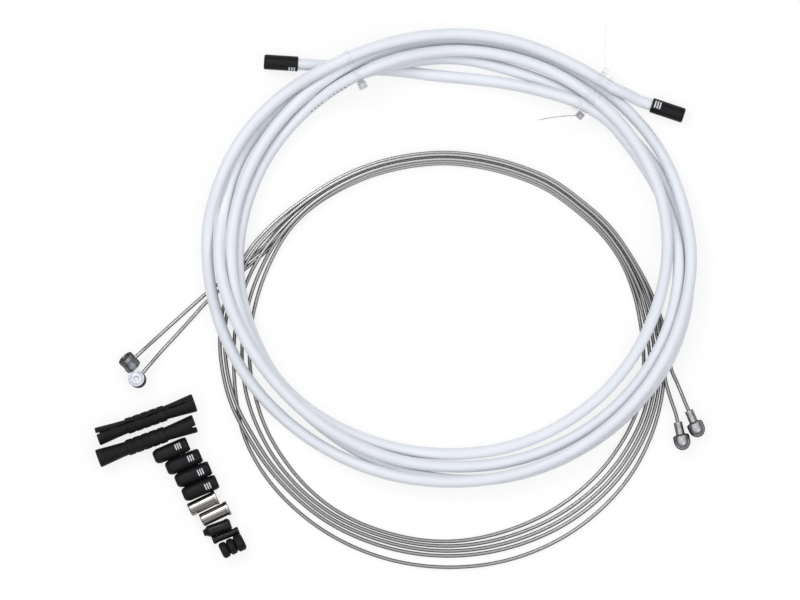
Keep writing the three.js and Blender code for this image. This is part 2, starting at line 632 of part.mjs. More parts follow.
// The lying head leans down at its side away from the coil, the standing one leans back toward it.
function barrelHead(name, route, standing, material) {
  const outward = leaving(route, 0).setZ(0).normalize();
  const middle = route.getPointAt(0).addScaledVector(outward, seat + barrelHeadDiameter / 2);
  const across = new THREE.Vector3(-outward.y, outward.x, 0);
  const upright = new THREE.Vector3(0, 0, 1);
  const tilt = THREE.MathUtils.degToRad(standing ? standingTilt : lyingTilt);
  const axis = (standing ? upright : across).clone().multiplyScalar(Math.cos(tilt));
  axis.addScaledVector(standing ? across : upright, -Math.sin(tilt));
  const start = middle.clone().addScaledVector(axis, -barrelHeadLength / 2);
  alongAxis(add(name, turned(barrelProfile()), material), start, axis);
}

function pearHead(name, route) {
  const outward = leaving(route, 1).setZ(0).normalize();
  const start = route.getPointAt(1).addScaledVector(outward, seat);
  alongAxis(add(name, turned(pearProfile()), darkZinc), start, outward);
}

const shortRoute = innerWire('inner_wire_short', shortLead, shortTurns, shortTail);
const longRoute = innerWire('inner_wire_long', longLead, longTurns, longTail);
barrelHead('barrel_head_a', shortRoute, false, darkZinc);
barrelHead('barrel_head_b', longRoute, true, paleZinc);
pearHead('pear_head_a', shortRoute);
pearHead('pear_head_b', longRoute);

// The start of the last fitting laid in the fan, its heading and its radius
const fan = {
  start: new THREE.Vector3(plan(fanStart[0]), plan(fanStart[1]), 0),
  heading: sleevePlaces[0].heading,
  radius: 0,
};

// Frame sleeves
for (const place of sleevePlaces) {
  layDown(add(place.name, slitSleeve(place), blackRubber), place, sleeveMouthDiameter);
}

// Loose ferrules
for (const place of looseFerrulePlaces) {
  const profile = ferruleProfile(
    looseFerruleDiameter, looseFerruleLength, looseFerruleSocket, looseFerruleSocketDepth,
    ferruleWireHole, looseFerruleChamfer,
  );
  layDown(add(place.name, turned(profile), blackAlloy), place, looseFerruleDiameter);
}
for (const place of silverPlaces) {
  layDown(add(place.name, turned(silverProfile()), nickel), place, silverRimDiameter);
}

// Small end pieces
layDown(add(nosePlace.name, turned(noseProfile()), blackRubber), nosePlace, noseBodyDiameter, noseFlangeDiameter);
layDown(add(stemPlace.name, turned(stemProfile()), blackRubber), stemPlace, stemFlareDiameter);

// Donut rings, side by side on one line
layDown(add(donuts[0].name, turned(donutProfile(donuts[0])), blackRubber), donutRow, donuts[0].diameter);
let donutStart = 0;
for (const [i, donut] of donuts.slice(1).entries()) {
  donutStart += donuts[i].width + donutGap;
  const along = headingOf(donutRow.heading);
  const start = fan.start.clone().addScaledVector(along, donutStart).setZ(donut.diameter / 2);
  alongAxis(add(donut.name, turned(donutProfile(donut)), blackRubber), start, along);
}

export default group;
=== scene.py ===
"""Looks of the bicycle brake cable set: housing coil, inner wires, heads, ties and loose fittings.

Sizes below are in millimetres in the CAD plan and are turned into metres of the row frame on the way out.
"""
import math

import bmesh
import bpy
import numpy as np
from mathutils import Matrix, Vector


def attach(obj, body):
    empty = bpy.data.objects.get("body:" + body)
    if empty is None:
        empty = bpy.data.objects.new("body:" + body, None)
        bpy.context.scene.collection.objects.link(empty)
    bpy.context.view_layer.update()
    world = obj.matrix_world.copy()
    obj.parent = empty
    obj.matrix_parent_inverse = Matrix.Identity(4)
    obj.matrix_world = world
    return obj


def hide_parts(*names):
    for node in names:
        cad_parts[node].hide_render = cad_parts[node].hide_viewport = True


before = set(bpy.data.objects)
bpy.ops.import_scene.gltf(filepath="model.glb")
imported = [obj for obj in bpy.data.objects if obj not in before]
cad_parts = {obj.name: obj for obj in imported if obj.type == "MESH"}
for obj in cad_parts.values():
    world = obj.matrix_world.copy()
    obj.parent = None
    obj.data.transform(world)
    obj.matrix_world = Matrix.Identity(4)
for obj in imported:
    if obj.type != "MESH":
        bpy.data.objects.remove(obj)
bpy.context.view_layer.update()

MM = 0.001
SHIFT = np.array([0.2, -1.2, 0.0])
PX_PER_MM = 2.35
scene = bpy.context.scene


# Camera: straight above, with a long lens, centred where the photograph is.
camera_height, camera_level = 7.2, 0.004
photo_width, photo_offset = 800, -1.5
sensor_width = 36
lens = bpy.data.cameras.new("camera")
lens.sensor_width = sensor_width
lens.lens = sensor_width * camera_height / (photo_width / PX_PER_MM * MM)
lens.clip_end = 40
camera = bpy.data.objects.new("camera", lens)
camera.location = (SHIFT[0] * MM, (SHIFT[1] + photo_offset / PX_PER_MM) * MM, camera_height + camera_level)
scene.collection.objects.link(camera)
scene.camera = camera


# Materials
def fill(owner, node, values):
    """Sets each named input of a node, or links it where the value is another node's socket."""
    for name, value in values.items():
        if isinstance(value, bpy.types.NodeSocket):
            owner.node_tree.links.new(value, node.inputs[name])
        else:
            node.inputs[name].default_value = value
    return node


def add(owner, kind, values, operation=None):
    node = owner.node_tree.nodes.new("ShaderNode" + kind)
    if operation:
        node.operation = operation
    return fill(owner, node, values)


def node_material(name, color, roughness, metallic=0.0, specular=0.5, coat=0.0, coat_roughness=0.1):
    material = bpy.data.materials.new(name)
    material.use_nodes = True
    shader = fill(material, material.node_tree.nodes["Principled BSDF"], {
        "Base Color": (*color, 1), "Roughness": roughness, "Metallic": metallic,
        "Specular IOR Level": specular, "Coat Weight": coat, "Coat Roughness": coat_roughness,
    })
    return material, shader


def noise(material, scale, detail=3.0, stretch=(1, 1, 1), distortion=0.0):
    place = add(material, "TexCoord", {})
    stretched = add(material, "Mapping", {"Scale": stretch, "Vector": place.outputs["Object"]})
    return add(material, "TexNoise", {
        "Vector": stretched.outputs["Vector"], "Scale": scale, "Detail": detail, "Distortion": distortion,
    }).outputs["Fac"]


def vary_color(material, shader, fac, low, high, start=0.35, end=0.65):
    ramp = add(material, "ValToRGB", {"Fac": fac})
    for stop, position, color in zip(ramp.color_ramp.elements, (start, end), (low, high)):
        stop.position, stop.color = position, (*color, 1)
    fill(material, shader, {"Base Color": ramp.outputs["Color"]})


def spread(material, value, start, end, low, high):
    """The value, with start to end stretched to low to high."""
    return add(material, "MapRange", {
        "Value": value, "From Min": start, "From Max": end, "To Min": low, "To Max": high,
    }).outputs["Result"]


def vary_roughness(material, shader, fac, low, high):
    fill(material, shader, {"Roughness": spread(material, fac, 0.3, 0.7, low, high)})


def bump(material, shader, fac, distance, strength=1.0):
    relief = add(material, "Bump", {"Height": fac, "Strength": strength, "Distance": distance})
    fill(material, shader, {"Normal": relief.outputs["Normal"]})


def painted_side_shade(material, shader, low, full):
    """Painted shade: darkens the colour, and the tint of reflections at the rims, where the surface faces
    sideways or down.
    """
    color = shader.inputs["Base Color"].links[0].from_socket
    facing = add(material, "NewGeometry", {}).outputs["Normal"]
    height = add(material, "SeparateXYZ", {"Vector": facing}).outputs["Z"]
    share = spread(material, height, 0.05, full, low, 1.0)
    darker = add(material, "VectorMath", {0: color, "Scale": share}, "SCALE")
    shaded_rim_tint = (0.12, 0.12, 0.12, 1.0)
    fill(material, shader, {"Specular Tint": shaded_rim_tint, "Base Color": darker.outputs["Vector"]})


def grained(name, color, roughness, tones, rough=None, relief=None, side_shade=None, **shine):
    """A material whose colour, roughness and relief follow noise.

    tones is (noise, low, high, start, end), rough is (noise, low, high) and relief is (noise, distance,
    strength). Each noise is a tuple of settings, and equal ones share a node. Painted shade down the sides is
    given as (low, full).
    """
    material, shader = node_material(name, color, roughness, **shine)
    grains = {}

    def grain(settings):
        if settings not in grains:
            grains[settings] = noise(material, *settings)
        return grains[settings]

    vary_color(material, shader, grain(tones[0]), *tones[1:])
    if rough:
        vary_roughness(material, shader, grain(rough[0]), *rough[1:])
    if relief:
        bump(material, shader, grain(relief[0]), *relief[1:])
    if side_shade:
        painted_side_shade(material, shader, *side_shade)
    return material


def wire_material():
    """Steel with painted shade in the grooves between its strands and down its sides, and painted light on
    the far side of the coil, from a tone kept on the mesh.
    """
    material, shader = node_material("wire_strands", (0.5, 0.49, 0.47), 0.3, metallic=1.0)
    strand_shade = add(material, "Attribute", {})
    strand_shade.attribute_name = "strand_shade"
    vary_color(material, shader, strand_shade.outputs["Fac"], (0.084, 0.082, 0.083), (0.64, 0.63, 0.628), 0.08, 0.95)
    vary_roughness(material, shader, noise(material, 900, 3), 0.22, 0.36)
    bump(material, shader, noise(material, 5000, 2), 0.00001, 0.4)
    return material


def nylon(name, color, roughness, specular, clear, refraction, tones, rough, relief=None):
    material = grained(name, color, roughness, tones, (tones[0], *rough), relief, specular=specular)
    shader = material.node_tree.nodes["Principled BSDF"]
    fill(material, shader, {"Transmission Weight": clear, "IOR": refraction})
    return material


even_grain = (1, 1, 1)
materials = {
    "housing": grained(
        "housing_white", (0.785, 0.81, 0.865), 0.4, ((60, 4), (0.77, 0.795, 0.85), (0.795, 0.82, 0.87)),
        ((60, 4), 0.32, 0.44), ((2600, 2), 0.00002, 0.35), specular=0.45,
    ),
    "housing_mark": grained(
        "housing_mark", (0.3, 0.3, 0.32), 0.5, ((1500, 2), (0.38, 0.385, 0.40), (0.52, 0.525, 0.54)),
    ),
    "wire": wire_material(),
    "black": grained(
        "ferrule_black", (0.005, 0.005, 0.006), 0.48,
        ((1800, 4), (0.004, 0.004, 0.005), (0.008, 0.008, 0.0095)),
        ((300, 3), 0.4, 0.55), ((1800, 4), 0.00003, 0.5), specular=0.2,
    ),
    "mark": grained(
        "ferrule_mark", (0.6, 0.6, 0.64), 0.45, ((2500, 3), (0.36, 0.36, 0.40), (0.70, 0.70, 0.74), 0.3, 0.5),
    ),
    "rubber": grained(
        "sleeve_rubber", (0.006, 0.006, 0.007), 0.6,
        ((420, 6, even_grain, 0.6), (0.004, 0.004, 0.0045), (0.010, 0.010, 0.011), 0.3, 0.75),
        ((160, 3), 0.5, 0.7), ((1400, 5), 0.00005, 0.5), specular=0.2,
    ),
    # The colour streaks along the axis are painted reflections, and the last tuple paints shade down the
    # sides.
    "nickel": grained(
        "nickel", (0.4, 0.375, 0.35), 0.18,
        ((420, 2, (1, 1, 0.02)), (0.045, 0.042, 0.038), (0.58, 0.55, 0.51), 0.42, 0.62),
        ((700, 3), 0.12, 0.24), ((500, 3, (1, 1, 0.06)), 0.00003, 0.3), (0.3, 0.6), metallic=1.0,
    ),
    # The last tuple paints shade down the sides.
    "head": grained(
        "head_dark", (0.22, 0.23, 0.245), 0.36,
        ((900, 5, even_grain, 0.4), (0.13, 0.138, 0.15), (0.36, 0.37, 0.385), 0.3, 0.72),
        ((500, 4), 0.26, 0.44), ((900, 5, even_grain, 0.4), 0.00008, 0.6), (0.3, 0.75), metallic=0.95,
    ),
    # The last tuple paints shade down the sides.
    "pear": grained(
        "head_pear", (0.34, 0.34, 0.35), 0.3, ((700, 4), (0.31, 0.31, 0.322), (0.54, 0.54, 0.55), 0.3, 0.72),
        ((500, 4), 0.22, 0.36), ((700, 4), 0.00005, 0.5), (0.14, 0.93), metallic=1.0,
    ),
    "face": grained(
        "head_face", (0.55, 0.56, 0.61), 0.38,
        ((900, 3, even_grain, 0.3), (0.46, 0.47, 0.53), (0.62, 0.63, 0.68), 0.3, 0.7),
        relief=((900, 3, even_grain, 0.3), 0.00005, 0.4), metallic=0.7,
    ),
    "end": grained(
        "end_gloss", (0.006, 0.0055, 0.005), 0.34, ((700, 4), (0.004, 0.0035, 0.003), (0.010, 0.0085, 0.007)),
        ((700, 4), 0.24, 0.4), ((700, 4), 0.00003, 0.4), specular=0.22, coat=0.05, coat_roughness=0.15,
    ),
    "nylon": nylon(
        "tie_nylon", (0.97, 0.975, 0.98), 0.12, 0.05, 0.97, 1.03,
        ((500, 3), (0.965, 0.97, 0.975), (0.985, 0.99, 0.99)), (0.08, 0.18), ((1800, 2), 0.00002, 0.3),
    ),
    "nylon_thin": nylon(
        "tie_nylon_thin", (0.94, 0.945, 0.95), 0.2, 0.35, 0.92, 1.09,
        ((500, 3), (0.93, 0.935, 0.94), (0.97, 0.975, 0.98)), (0.14, 0.28),
    ),
    "nylon_milky": nylon(
        "tie_nylon_milky", (0.72, 0.74, 0.75), 0.3, 0.4, 0.35, 1.3,
        ((500, 3), (0.68, 0.70, 0.71), (0.78, 0.80, 0.81)), (0.25, 0.4),
    ),
    "nylon_thick": nylon(
        "tie_nylon_thick", (0.6, 0.61, 0.62), 0.3, 0.5, 0.45, 1.3,
        ((700, 3), (0.52, 0.53, 0.54), (0.70, 0.71, 0.715)), (0.22, 0.4), ((1800, 2), 0.00003, 0.4),
    ),
}


# Shapes
def mesh_object(name, vertices, faces, material, matrix=None, sharp=38, extra=None, painted=None):
    """A smooth mesh piece from millimetre points, riding on the body."""
    data = bpy.data.meshes.new(name)
    data.from_pydata((np.asarray(vertices, float) * MM).tolist(), [], faces)
    data.materials.append(material)
    if extra is not None:
        data.materials.append(extra)
        data.polygons.foreach_set("material_index", [int(painted(p.center / MM)) for p in data.polygons])
    tidy = bmesh.new()
    tidy.from_mesh(data)
    bmesh.ops.recalc_face_normals(tidy, faces=tidy.faces)
    tidy.to_mesh(data)
    tidy.free()
    data.polygons.foreach_set("use_smooth", [True] * len(data.polygons))
    data.set_sharp_from_angle(angle=math.radians(sharp))
    piece = bpy.data.objects.new(name, data)
    scene.collection.objects.link(piece)
    if matrix is not None:
        piece.matrix_world = matrix
    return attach(piece, "root")


def ring_faces(rings, count, closed=False):
    """Faces between one ring of count points and the next, and from the last to the first if closed."""
    faces = []
    for i in range(rings if closed else rings - 1):
        a, b = i * count, (i + 1) % rings * count
        for k in range(count):
            n = (k + 1) % count
            faces.append((a + k, a + n, b + n, b + k))
    return faces


def rounded(corners, steps=4):
    """Closed profile of (radius, along, fillet) corners with each fillet turned into an arc."""
    points = []
    places, fillets = np.array(corners, float)[:, :2], [corner[2] for corner in corners]
    for i, (here, fillet) in enumerate(zip(places, fillets)):
        before, after = places[i - 1] - here, places[(i + 1) % len(places)] - here
        a, b = np.linalg.norm(before), np.linalg.norm(after)
        if fillet <= 0 or a < 1e-6 or b < 1e-6:
            points.append(tuple(here))
            continue
        before, after = before / a, after / b
        half = math.acos(max(-1, min(1, float(before @ after)))) / 2
        reach = min(fillet / math.tan(half), a * 0.48, b * 0.48)
        first, last = here + before * reach, here + after * reach
        for k in range(steps + 1):
            u = k / steps
            points.append(tuple((1 - u) ** 2 * first + 2 * u * (1 - u) * here + u * u * last))
    return points


def lathe(profile, segments=48):
    """Vertices and faces of a closed profile turned round the z axis. Points on the axis become poles."""
    rings, vertices, faces = [], [], []
    for radius, along in profile:
        count = 1 if radius < 1e-6 else segments
        rings.append(range(len(vertices), len(vertices) + count))
        for k in range(count):
            angle = 2 * math.pi * k / segments
            vertices.append((radius * math.cos(angle), radius * math.sin(angle), along))
    for a, b in zip(rings, rings[1:] + rings[:1]):
        if len(a) == len(b) == 1:
            continue
        for k in range(segments):
            n = k + 1
            face = (a[k % len(a)], a[n % len(a)], b[n % len(b)], b[k % len(b)])
            faces.append(tuple(dict.fromkeys(face)))
    return vertices, faces


def in_frame(points):
    """Points of the CAD source in the row frame, still in millimetres."""
    return np.asarray(points, float) + SHIFT


def axis_frame(start, direction):
    """Local z along direction, local x as near up as can be, at a point of the CAD source."""
    z = Vector(direction).normalized()
    up = Vector((0, 0, 1)) if abs(z.z) < 0.9 else Vector((1, 0, 0))
    x = (up - z * up.dot(z)).normalized()
    y = z.cross(x)
    turn = Matrix((x, y, z)).transposed().to_4x4()
    return Matrix.Translation(Vector(in_frame(start) * MM)) @ turn


# Cord routes, as in the CAD source: lead points, turns of [bearing, reach, height], tail points.
# A turn without a height lies on the floor.
housing_diameter = 5.0
wire_diameter = 1.6
housing_middle = (22.1, 17.2)
housing_flatness = 0.95
wire_middle = (20.4, -26.6)
housing_lead = [
    [-54.4, 100.5, 3.2], [-43.4, 99.8, 3.2], [-22, 98.3, 3.9], [-12, 97.6, 3.8], [-0.9, 96.8, 3.6],
    [14.7, 94.9, 2.7], [30.2, 93.4, 2.8], [45.5, 91.4, 4.2], [61.1, 88, 7.2], [76.6, 82.9, 9.2],
]
housing_turns = [
    [47, 90.4, 8.6], [60, 91.1, 7.2], [75, 93.6, 6.5], [90, 96.3, 7.8], [105, 96.9, 7.5], [120, 96.8, 7],
    [135, 96.2, 5.2], [150, 95.3, 3.6], [165, 94.4, 2.6], [180, 93.4, 3.7], [195, 93.2, 6.7],
    [210, 92.9, 9.7], [217, 92.9, 11.7], [225, 93, 13.2], [240, 94, 15.5], [255, 96.3, 15.7],
    [262, 97.7, 14.6], [270, 98.9, 12.8], [278, 99.4, 9.3], [285, 99.4, 6.4], [292, 100.2, 5],
    [300, 100.4, 3.6], [308, 99.7, 2.6], [315, 98.6], [322, 95.8, 3], [328, 93.4, 5.6], [333, 91.7, 8.4],
    [338, 90.6, 9.3], [345, 89.9, 8.5], [352, 89.6, 5.4], [360, 89.4, 3], [375, 87.9], [390, 88.5, 3],
    [398, 89.7, 3.8], [405, 91.1, 3.4], [420, 94.6], [435, 97.9, 3], [450, 100.4, 4.4], [465, 102.4, 5.7],
    [480, 102.9, 6.3], [495, 102.2, 4.8], [510, 101.6, 3.4], [525, 100.9, 2.6], [540, 99.4], [555, 97],
    [570, 94.4], [585, 92.8, 2.6], [600, 91.8, 4.8], [615, 91.2, 6.3], [630, 91, 6.4], [645, 90.6, 5.4],
    [660, 90.6, 4.6], [675, 90.6, 5], [682, 90.7, 7.2], [687, 90.8, 10.4], [693, 91, 13.6],
    [698, 91.3, 14.7], [705, 91.7, 13.6], [712, 92.2, 10.5], [720, 92.7, 7.4], [735, 93.2, 7],
    [750, 93.6, 7.8], [757, 93.6, 9.8], [762, 93.6, 12.5], [768, 93.6, 13], [780, 93.4, 12.7],
    [795, 92.8, 12.2], [810, 91.4, 10.9], [825, 89.7, 8.2], [840, 88.8, 6.4], [855, 88.3, 4.2],
    [870, 88, 2.7], [885, 87.9], [900, 87.7], [915, 88.3, 2.8], [930, 89.6, 5.4], [937, 90.4, 6.8],
    [945, 91.4, 8], [960, 92.3, 10.3], [975, 93.3, 11.2], [990, 93.8, 10.9], [1005, 94.5, 9.4],
    [1020, 95.1, 8.8], [1035, 95.7, 7.8], [1042, 96.1, 8.6], [1048, 96.4, 10.3], [1053, 96.6, 10.6],
    [1058, 96.8, 9.6], [1065, 97.2, 7.4], [1072, 97.6, 5], [1080, 98.1, 3.4], [1095, 98.4, 2.6],
    [1110, 98.7, 3], [1118, 99, 3.8], [1125, 99.4, 3.4], [1140, 100.6, 4], [1155, 100.9, 7.6],
    [1170, 101.7, 9.8], [1185, 101.2, 11], [1200, 100.9, 11.4], [1215, 100.7, 10], [1230, 100.5, 8.8],
    [1245, 100.4, 7.9], [1260, 100.2, 7.8], [1275, 100.5, 7], [1290, 100.8, 4.2], [1305, 101.4, 3.2],
    [1313, 101.9, 4.3], [1320, 102.3, 4.8], [1335, 103, 5.9], [1350, 104, 7.4], [1358, 104.7, 8.5],
    [1365, 104.6, 9.7], [1380, 104.2, 8.8], [1395, 102.5, 8.8], [1402, 101.3, 11], [1408, 100.3, 14],
    [1413, 99.9, 14.9], [1418, 99.8, 14.2], [1425, 99.9, 12.2], [1432, 100, 10.2], [1440, 100.2, 8.8],
    [1455, 100.5, 7.8], [1470, 100.7, 8.4], [1478, 101.6, 8.6],
]
housing_tail = [
    [90.6, 89.6, 8.2], [96.5, 86.9, 6], [101.2, 84.5, 4], [106, 82.7, 3.2], [117.5, 78.85, 3.2],
]
short_lead = [
    [-112.3, -24.7, 4.31], [-109.4, -22.1, 3.9],
    [-104.5, -17.6, 2.3], [-96, -9.9, 1], [-89, -3.6, 0.8], [-82.4, 2.2, 0.8],
]
short_turns = [
    [292, 99.5], [300, 93], [310, 91.2], [320, 90.3], [330, 89.5], [340, 88.8], [350, 88.1], [360, 87.8],
    [370, 87.4], [380, 87.5], [390, 88], [400, 87.9], [410, 88.6], [420, 88.8], [430, 89.9], [440, 91.3],
    [450, 92.2], [460, 92.3], [480, 91.8], [500, 90.2], [520, 88.7], [540, 87.8], [560, 88.3], [580, 89.9],
    [600, 92], [610, 92.5], [620, 91.5], [630, 91.2], [640, 91.6], [650, 92, 1.2], [657, 91.7, 2.7],
    [663, 91.2, 2.7], [670, 90.2, 2.65], [680, 89.5, 2.65], [690, 88.6, 2.5], [700, 87.85, 2.5],
    [710, 87.15, 2.5], [720, 86.85, 2.5], [730, 86.45, 2.5], [740, 86.55, 2.5], [750, 87.05, 2.5],
    [760, 86.9, 2.5], [770, 87.7, 2.5], [780, 87.95, 2.5], [790, 88.7, 2.4], [795, 89.1, 1.9],
    [800, 89.4, 1], [810, 90.2], [820, 90.4], [840, 88.7], [860, 86.1], [880, 83.8], [900, 83], [920, 83.7],
    [940, 86], [950, 87.3], [960, 89.1, 0.9], [965, 90.1, 1.7], [970, 91.2, 2.7], [975, 92.9, 2.75],
    [980, 94.4, 1.7], [985, 95.5, 0.9], [990, 96.6], [1003, 98.2, 2.4], [1010, 98, 2.7], [1020, 96.7, 2.7],
    [1030, 94.1, 2.6], [1040, 91.7, 2.55], [1050, 90.6, 2.5], [1060, 89.75, 2.5], [1070, 89.05, 2.5],
    [1080, 88.75, 2.5], [1090, 88.35, 2.5], [1100, 88.45, 2.5], [1110, 88.95, 2.5], [1120, 88.8, 2.5],
    [1130, 89.6, 2.5], [1140, 89.8, 2.5], [1150, 91, 2.5], [1160, 92.8, 2.3], [1167, 94.4, 1.2],
    [1172, 95.1, 0.9],
]
short_tail = [[117.8, -35.6, 1.4], [120.3, -41.6, 3], [121.5, -44.7, 3.3], [122.7, -47.4, 3.5]]
long_lead = [
    [-109.3, -31.5, 3.56], [-106.5, -28.2, 3.1],
    [-101.5, -22.4, 1.3], [-95, -15.4, 0.8], [-88.4, -8.1, 0.8], [-81.6, -0.7, 0.8],
]
long_turns = [
    [292, 96.9], [300, 90.9], [310, 88.3], [320, 87.1], [330, 85.9], [340, 85], [350, 84.3], [360, 84],
    [370, 83.6], [380, 83.7], [390, 84.2], [400, 84.1], [410, 84.8], [420, 85], [430, 84.2], [440, 83.4],
    [450, 83.4], [460, 83.6], [480, 80.9], [500, 78.1], [520, 76.5], [540, 76.8], [560, 77.6], [580, 79.8],
    [600, 81.5], [610, 82.6], [620, 83.4], [630, 84.4], [650, 85.7], [660, 86.6, 1.4], [670, 87.6, 2.65],
    [680, 87.3, 2.65], [690, 86.6, 2.5], [700, 85.9, 2.5], [710, 85.2, 2.5], [720, 84.9, 2.5],
    [730, 84.5, 2.5], [740, 84.6, 2.5], [750, 85.1, 2.5], [760, 84.9, 2.5], [770, 85.7, 2.5],
    [780, 85.9, 2.5], [790, 85.6, 2.3], [800, 85.5, 1], [810, 86], [820, 86.5], [840, 84.2], [860, 81.2],
    [880, 79.1], [900, 78.8], [920, 79.5], [940, 82], [960, 84.5], [970, 85.7], [980, 86.9], [990, 87.6],
    [1010, 88.5], [1016, 88.7, 1.2], [1020, 88.9, 2], [1024, 89, 3.2], [1030, 88.9, 4.1], [1040, 88.5, 4.2],
    [1050, 87.65, 4.15], [1060, 86.9, 4.15], [1070, 86.2, 4.15], [1080, 85.9, 4.15], [1090, 85.5, 4.15],
    [1100, 85.6, 4.15], [1110, 86.1, 4.15], [1120, 85.9, 4.15], [1130, 86.7, 4.15], [1140, 86.9, 4.15],
    [1150, 87.1, 3.7], [1155, 87.3, 2.6], [1160, 87.5, 1.4], [1170, 88.1], [1180, 88.5], [1200, 86.5],
    [1220, 83.7], [1240, 81.5], [1260, 80.9], [1280, 81.5], [1300, 84], [1310, 85.3], [1320, 87.1],
    [1330, 89.1, 1.8], [1335, 90.8, 2.6], [1340, 92.3, 2.6], [1345, 93.5, 1.6], [1350, 94.5],
    [1363, 96.2, 2.2], [1370, 96, 2.7], [1380, 94.7, 2.7], [1390, 92.3, 3.2], [1400, 90.7, 4.3],
    [1410, 89.6, 4.2], [1420, 88.8, 4.15], [1430, 88.1, 4.15], [1440, 87.8, 4.15], [1450, 87.4, 4.15],
    [1460, 87.5, 4.15], [1470, 88, 4.15], [1480, 87.8, 4.15], [1490, 88.6, 4.15], [1500, 88.9, 4.2],
    [1510, 89.6, 4.2], [1520, 90.4, 3.6], [1528, 91.5, 2.7], [1535, 92.9, 2.7],
]
long_tail = [[115.2, -42.7, 2.2], [117.3, -48.9, 3.2], [118.1, -52.3, 3.5]]


def hermite(u, start, start_slope, end, end_slope):
    """Cubic from start to end, with a slope at each."""
    return (
        (2 * u**3 - 3 * u**2 + 1) * start + (u**3 - 2 * u**2 + u) * start_slope
        + (3 * u**2 - 2 * u**3) * end + (u**3 - u**2) * end_slope
    )


def read_stations(stations, step):
    """Even stations on a smooth line through the given ones, at about one to each step of bearing."""
    rows = np.array(stations, float)
    bearing, values = rows[:, 0], rows[:, 1:]
    slopes = np.diff(values, axis=0) / np.diff(bearing)[:, None]
    before, after = np.diff(bearing)[:-1, None], np.diff(bearing)[1:, None]
    middle = (slopes[1:] * before + slopes[:-1] * after) / (before + after)
    slopes = np.vstack([slopes[:1], middle, slopes[-1:]])
    count = round((bearing[-1] - bearing[0]) / step)
    out = []
    for at in np.linspace(bearing[0], bearing[-1], count + 1):
        i = min(max(int(np.searchsorted(bearing, at)) - 1, 0), len(rows) - 2)
        span = bearing[i + 1] - bearing[i]
        u = (at - bearing[i]) / span
        value = hermite(u, values[i], span * slopes[i], values[i + 1], span * slopes[i + 1])
        out.append((at, *value))
    return out


def cord_points(lead, turns, tail, middle, flatness, step, diameter):
    points = list(lead)
    turns = [row if len(row) == 3 else [*row, diameter / 2] for row in turns]
    for bearing, reach, height in read_stations(turns, step):
        x, y = math.sin(math.radians(bearing)), math.cos(math.radians(bearing))
        points.append((middle[0] + reach * x, middle[1] + flatness * reach * y, height))
    points = np.array(points + tail, float)
    points[:, 2] = np.maximum(points[:, 2], diameter / 2)
    return points


def smooth_curve(points, per_span=24):
    """Centripetal curve through the points, as a dense row of points."""
    first, last = 2 * points[0] - points[1], 2 * points[-1] - points[-2]
    held = np.vstack([first, points, last])
    u = (np.arange(per_span) / per_span)[:, None]
    out = []
    for i in range(len(points) - 1):
        p0, p1, p2, p3 = held[i : i + 4]
        spans = (p1 - p0, p2 - p1, p3 - p2)
        d0, d1, d2 = (max(float(np.sum(span**2)) ** 0.25, 1e-4) for span in spans)
        t1 = ((p1 - p0) / d0 - (p2 - p0) / (d0 + d1) + (p2 - p1) / d1) * d1
        t2 = ((p2 - p1) / d1 - (p3 - p1) / (d1 + d2) + (p3 - p2) / d2) * d1
        out.append(hermite(u, p1, t1, p2, t2))
    return np.vstack([*out, points[-1:]])


def resampled(points, along, count):
    wanted = np.linspace(0, along[-1], count + 1)
    return np.stack([np.interp(wanted, along, values) for values in points.T], 1)


def lengths_along(points):
    return np.r_[0, np.cumsum(np.linalg.norm(np.diff(points, axis=0), axis=1))]


def even(points, step):
    """The same line with its points about one step apart, and its length."""
    along = lengths_along(points)
    count = max(2, round(float(along[-1]) / step))
    return resampled(points, along, count), float(along[-1])


# Painted shade: the sides of a wire keep the first share of the tone. Painted light: the far side of the coil
# is lifted by up to the second share, over the given reach.
shaded_side_tone, far_light_share, far_light_reach = 0.2, 0.45, 50.0


def tube(name, path, section, step, twist, material):
    """Sweeps a section [(radius, tone)] along an even path, turned by twist radians each millimetre.

    The tone is kept for the material. It is painted shade: it falls off in the grooves and down the sides.
    Painted light lifts it on the far side of the coil, so there it falls off less.
    """
    tangents = np.gradient(path, axis=0)
    tangents /= np.linalg.norm(tangents, axis=1)[:, None]
    side = np.cross(tangents[0], (0, 0, 1))
    side /= np.linalg.norm(side)
    radii, tones = np.array(section).T
    count, rings = len(section), len(path)
    turn = 2 * math.pi * np.arange(count) / count
    vertices = np.zeros((rings, count, 3))
    strand_shade = np.zeros((rings, count))
    for i in range(rings):
        side = side - tangents[i] * float(side @ tangents[i])
        side /= np.linalg.norm(side)
        other = np.cross(tangents[i], side)
        angle = turn + twist * step * i
        ring = np.cos(angle)[:, None] * side + np.sin(angle)[:, None] * other
        vertices[i] = path[i] + ring * radii[:, None]
        # Painted light on the far side of the coil, and painted shade down the sides of each wire.
        far_light = far_light_share * min(max(path[i][1] / far_light_reach, 0.0), 1.0)
        lowest = shaded_side_tone + (1 - shaded_side_tone) * far_light
        strand_shade[i] = (tones + (1 - tones) * far_light) * (lowest + (1 - lowest) * np.maximum(ring[:, 2], 0))
    faces = ring_faces(rings, count)
    faces.append(tuple(reversed(range(count))))
    faces.append(tuple(range((rings - 1) * count, rings * count)))
    piece = mesh_object(name, vertices.reshape(-1, 3), faces, material, sharp=60)
    layer = piece.data.attributes.new("strand_shade", "FLOAT", "POINT")
    layer.data.foreach_set("value", strand_shade.reshape(-1).astype(np.float32))
    return piece


# Housing
housing_route_step, wire_route_step = 6, 5
housing_line = smooth_curve(cord_points(
    housing_lead, housing_turns, housing_tail,
    housing_middle, housing_flatness, housing_route_step, housing_diameter,
))
housing_sides = 28
housing_step = 1.0
housing_path, housing_length = even(housing_line, housing_step)
housing = tube(
    "housing_jacket", in_frame(housing_path), [(housing_diameter / 2, 1.0)] * housing_sides,
    housing_step, 0.0, materials["housing"],
)
ticks_from, ticks_to, tick_pitch, tick_group = 317, 330.5, 0.64, 9
tick_inner, tick_outer, tick_upward = 88.4, 89.3, 0.3


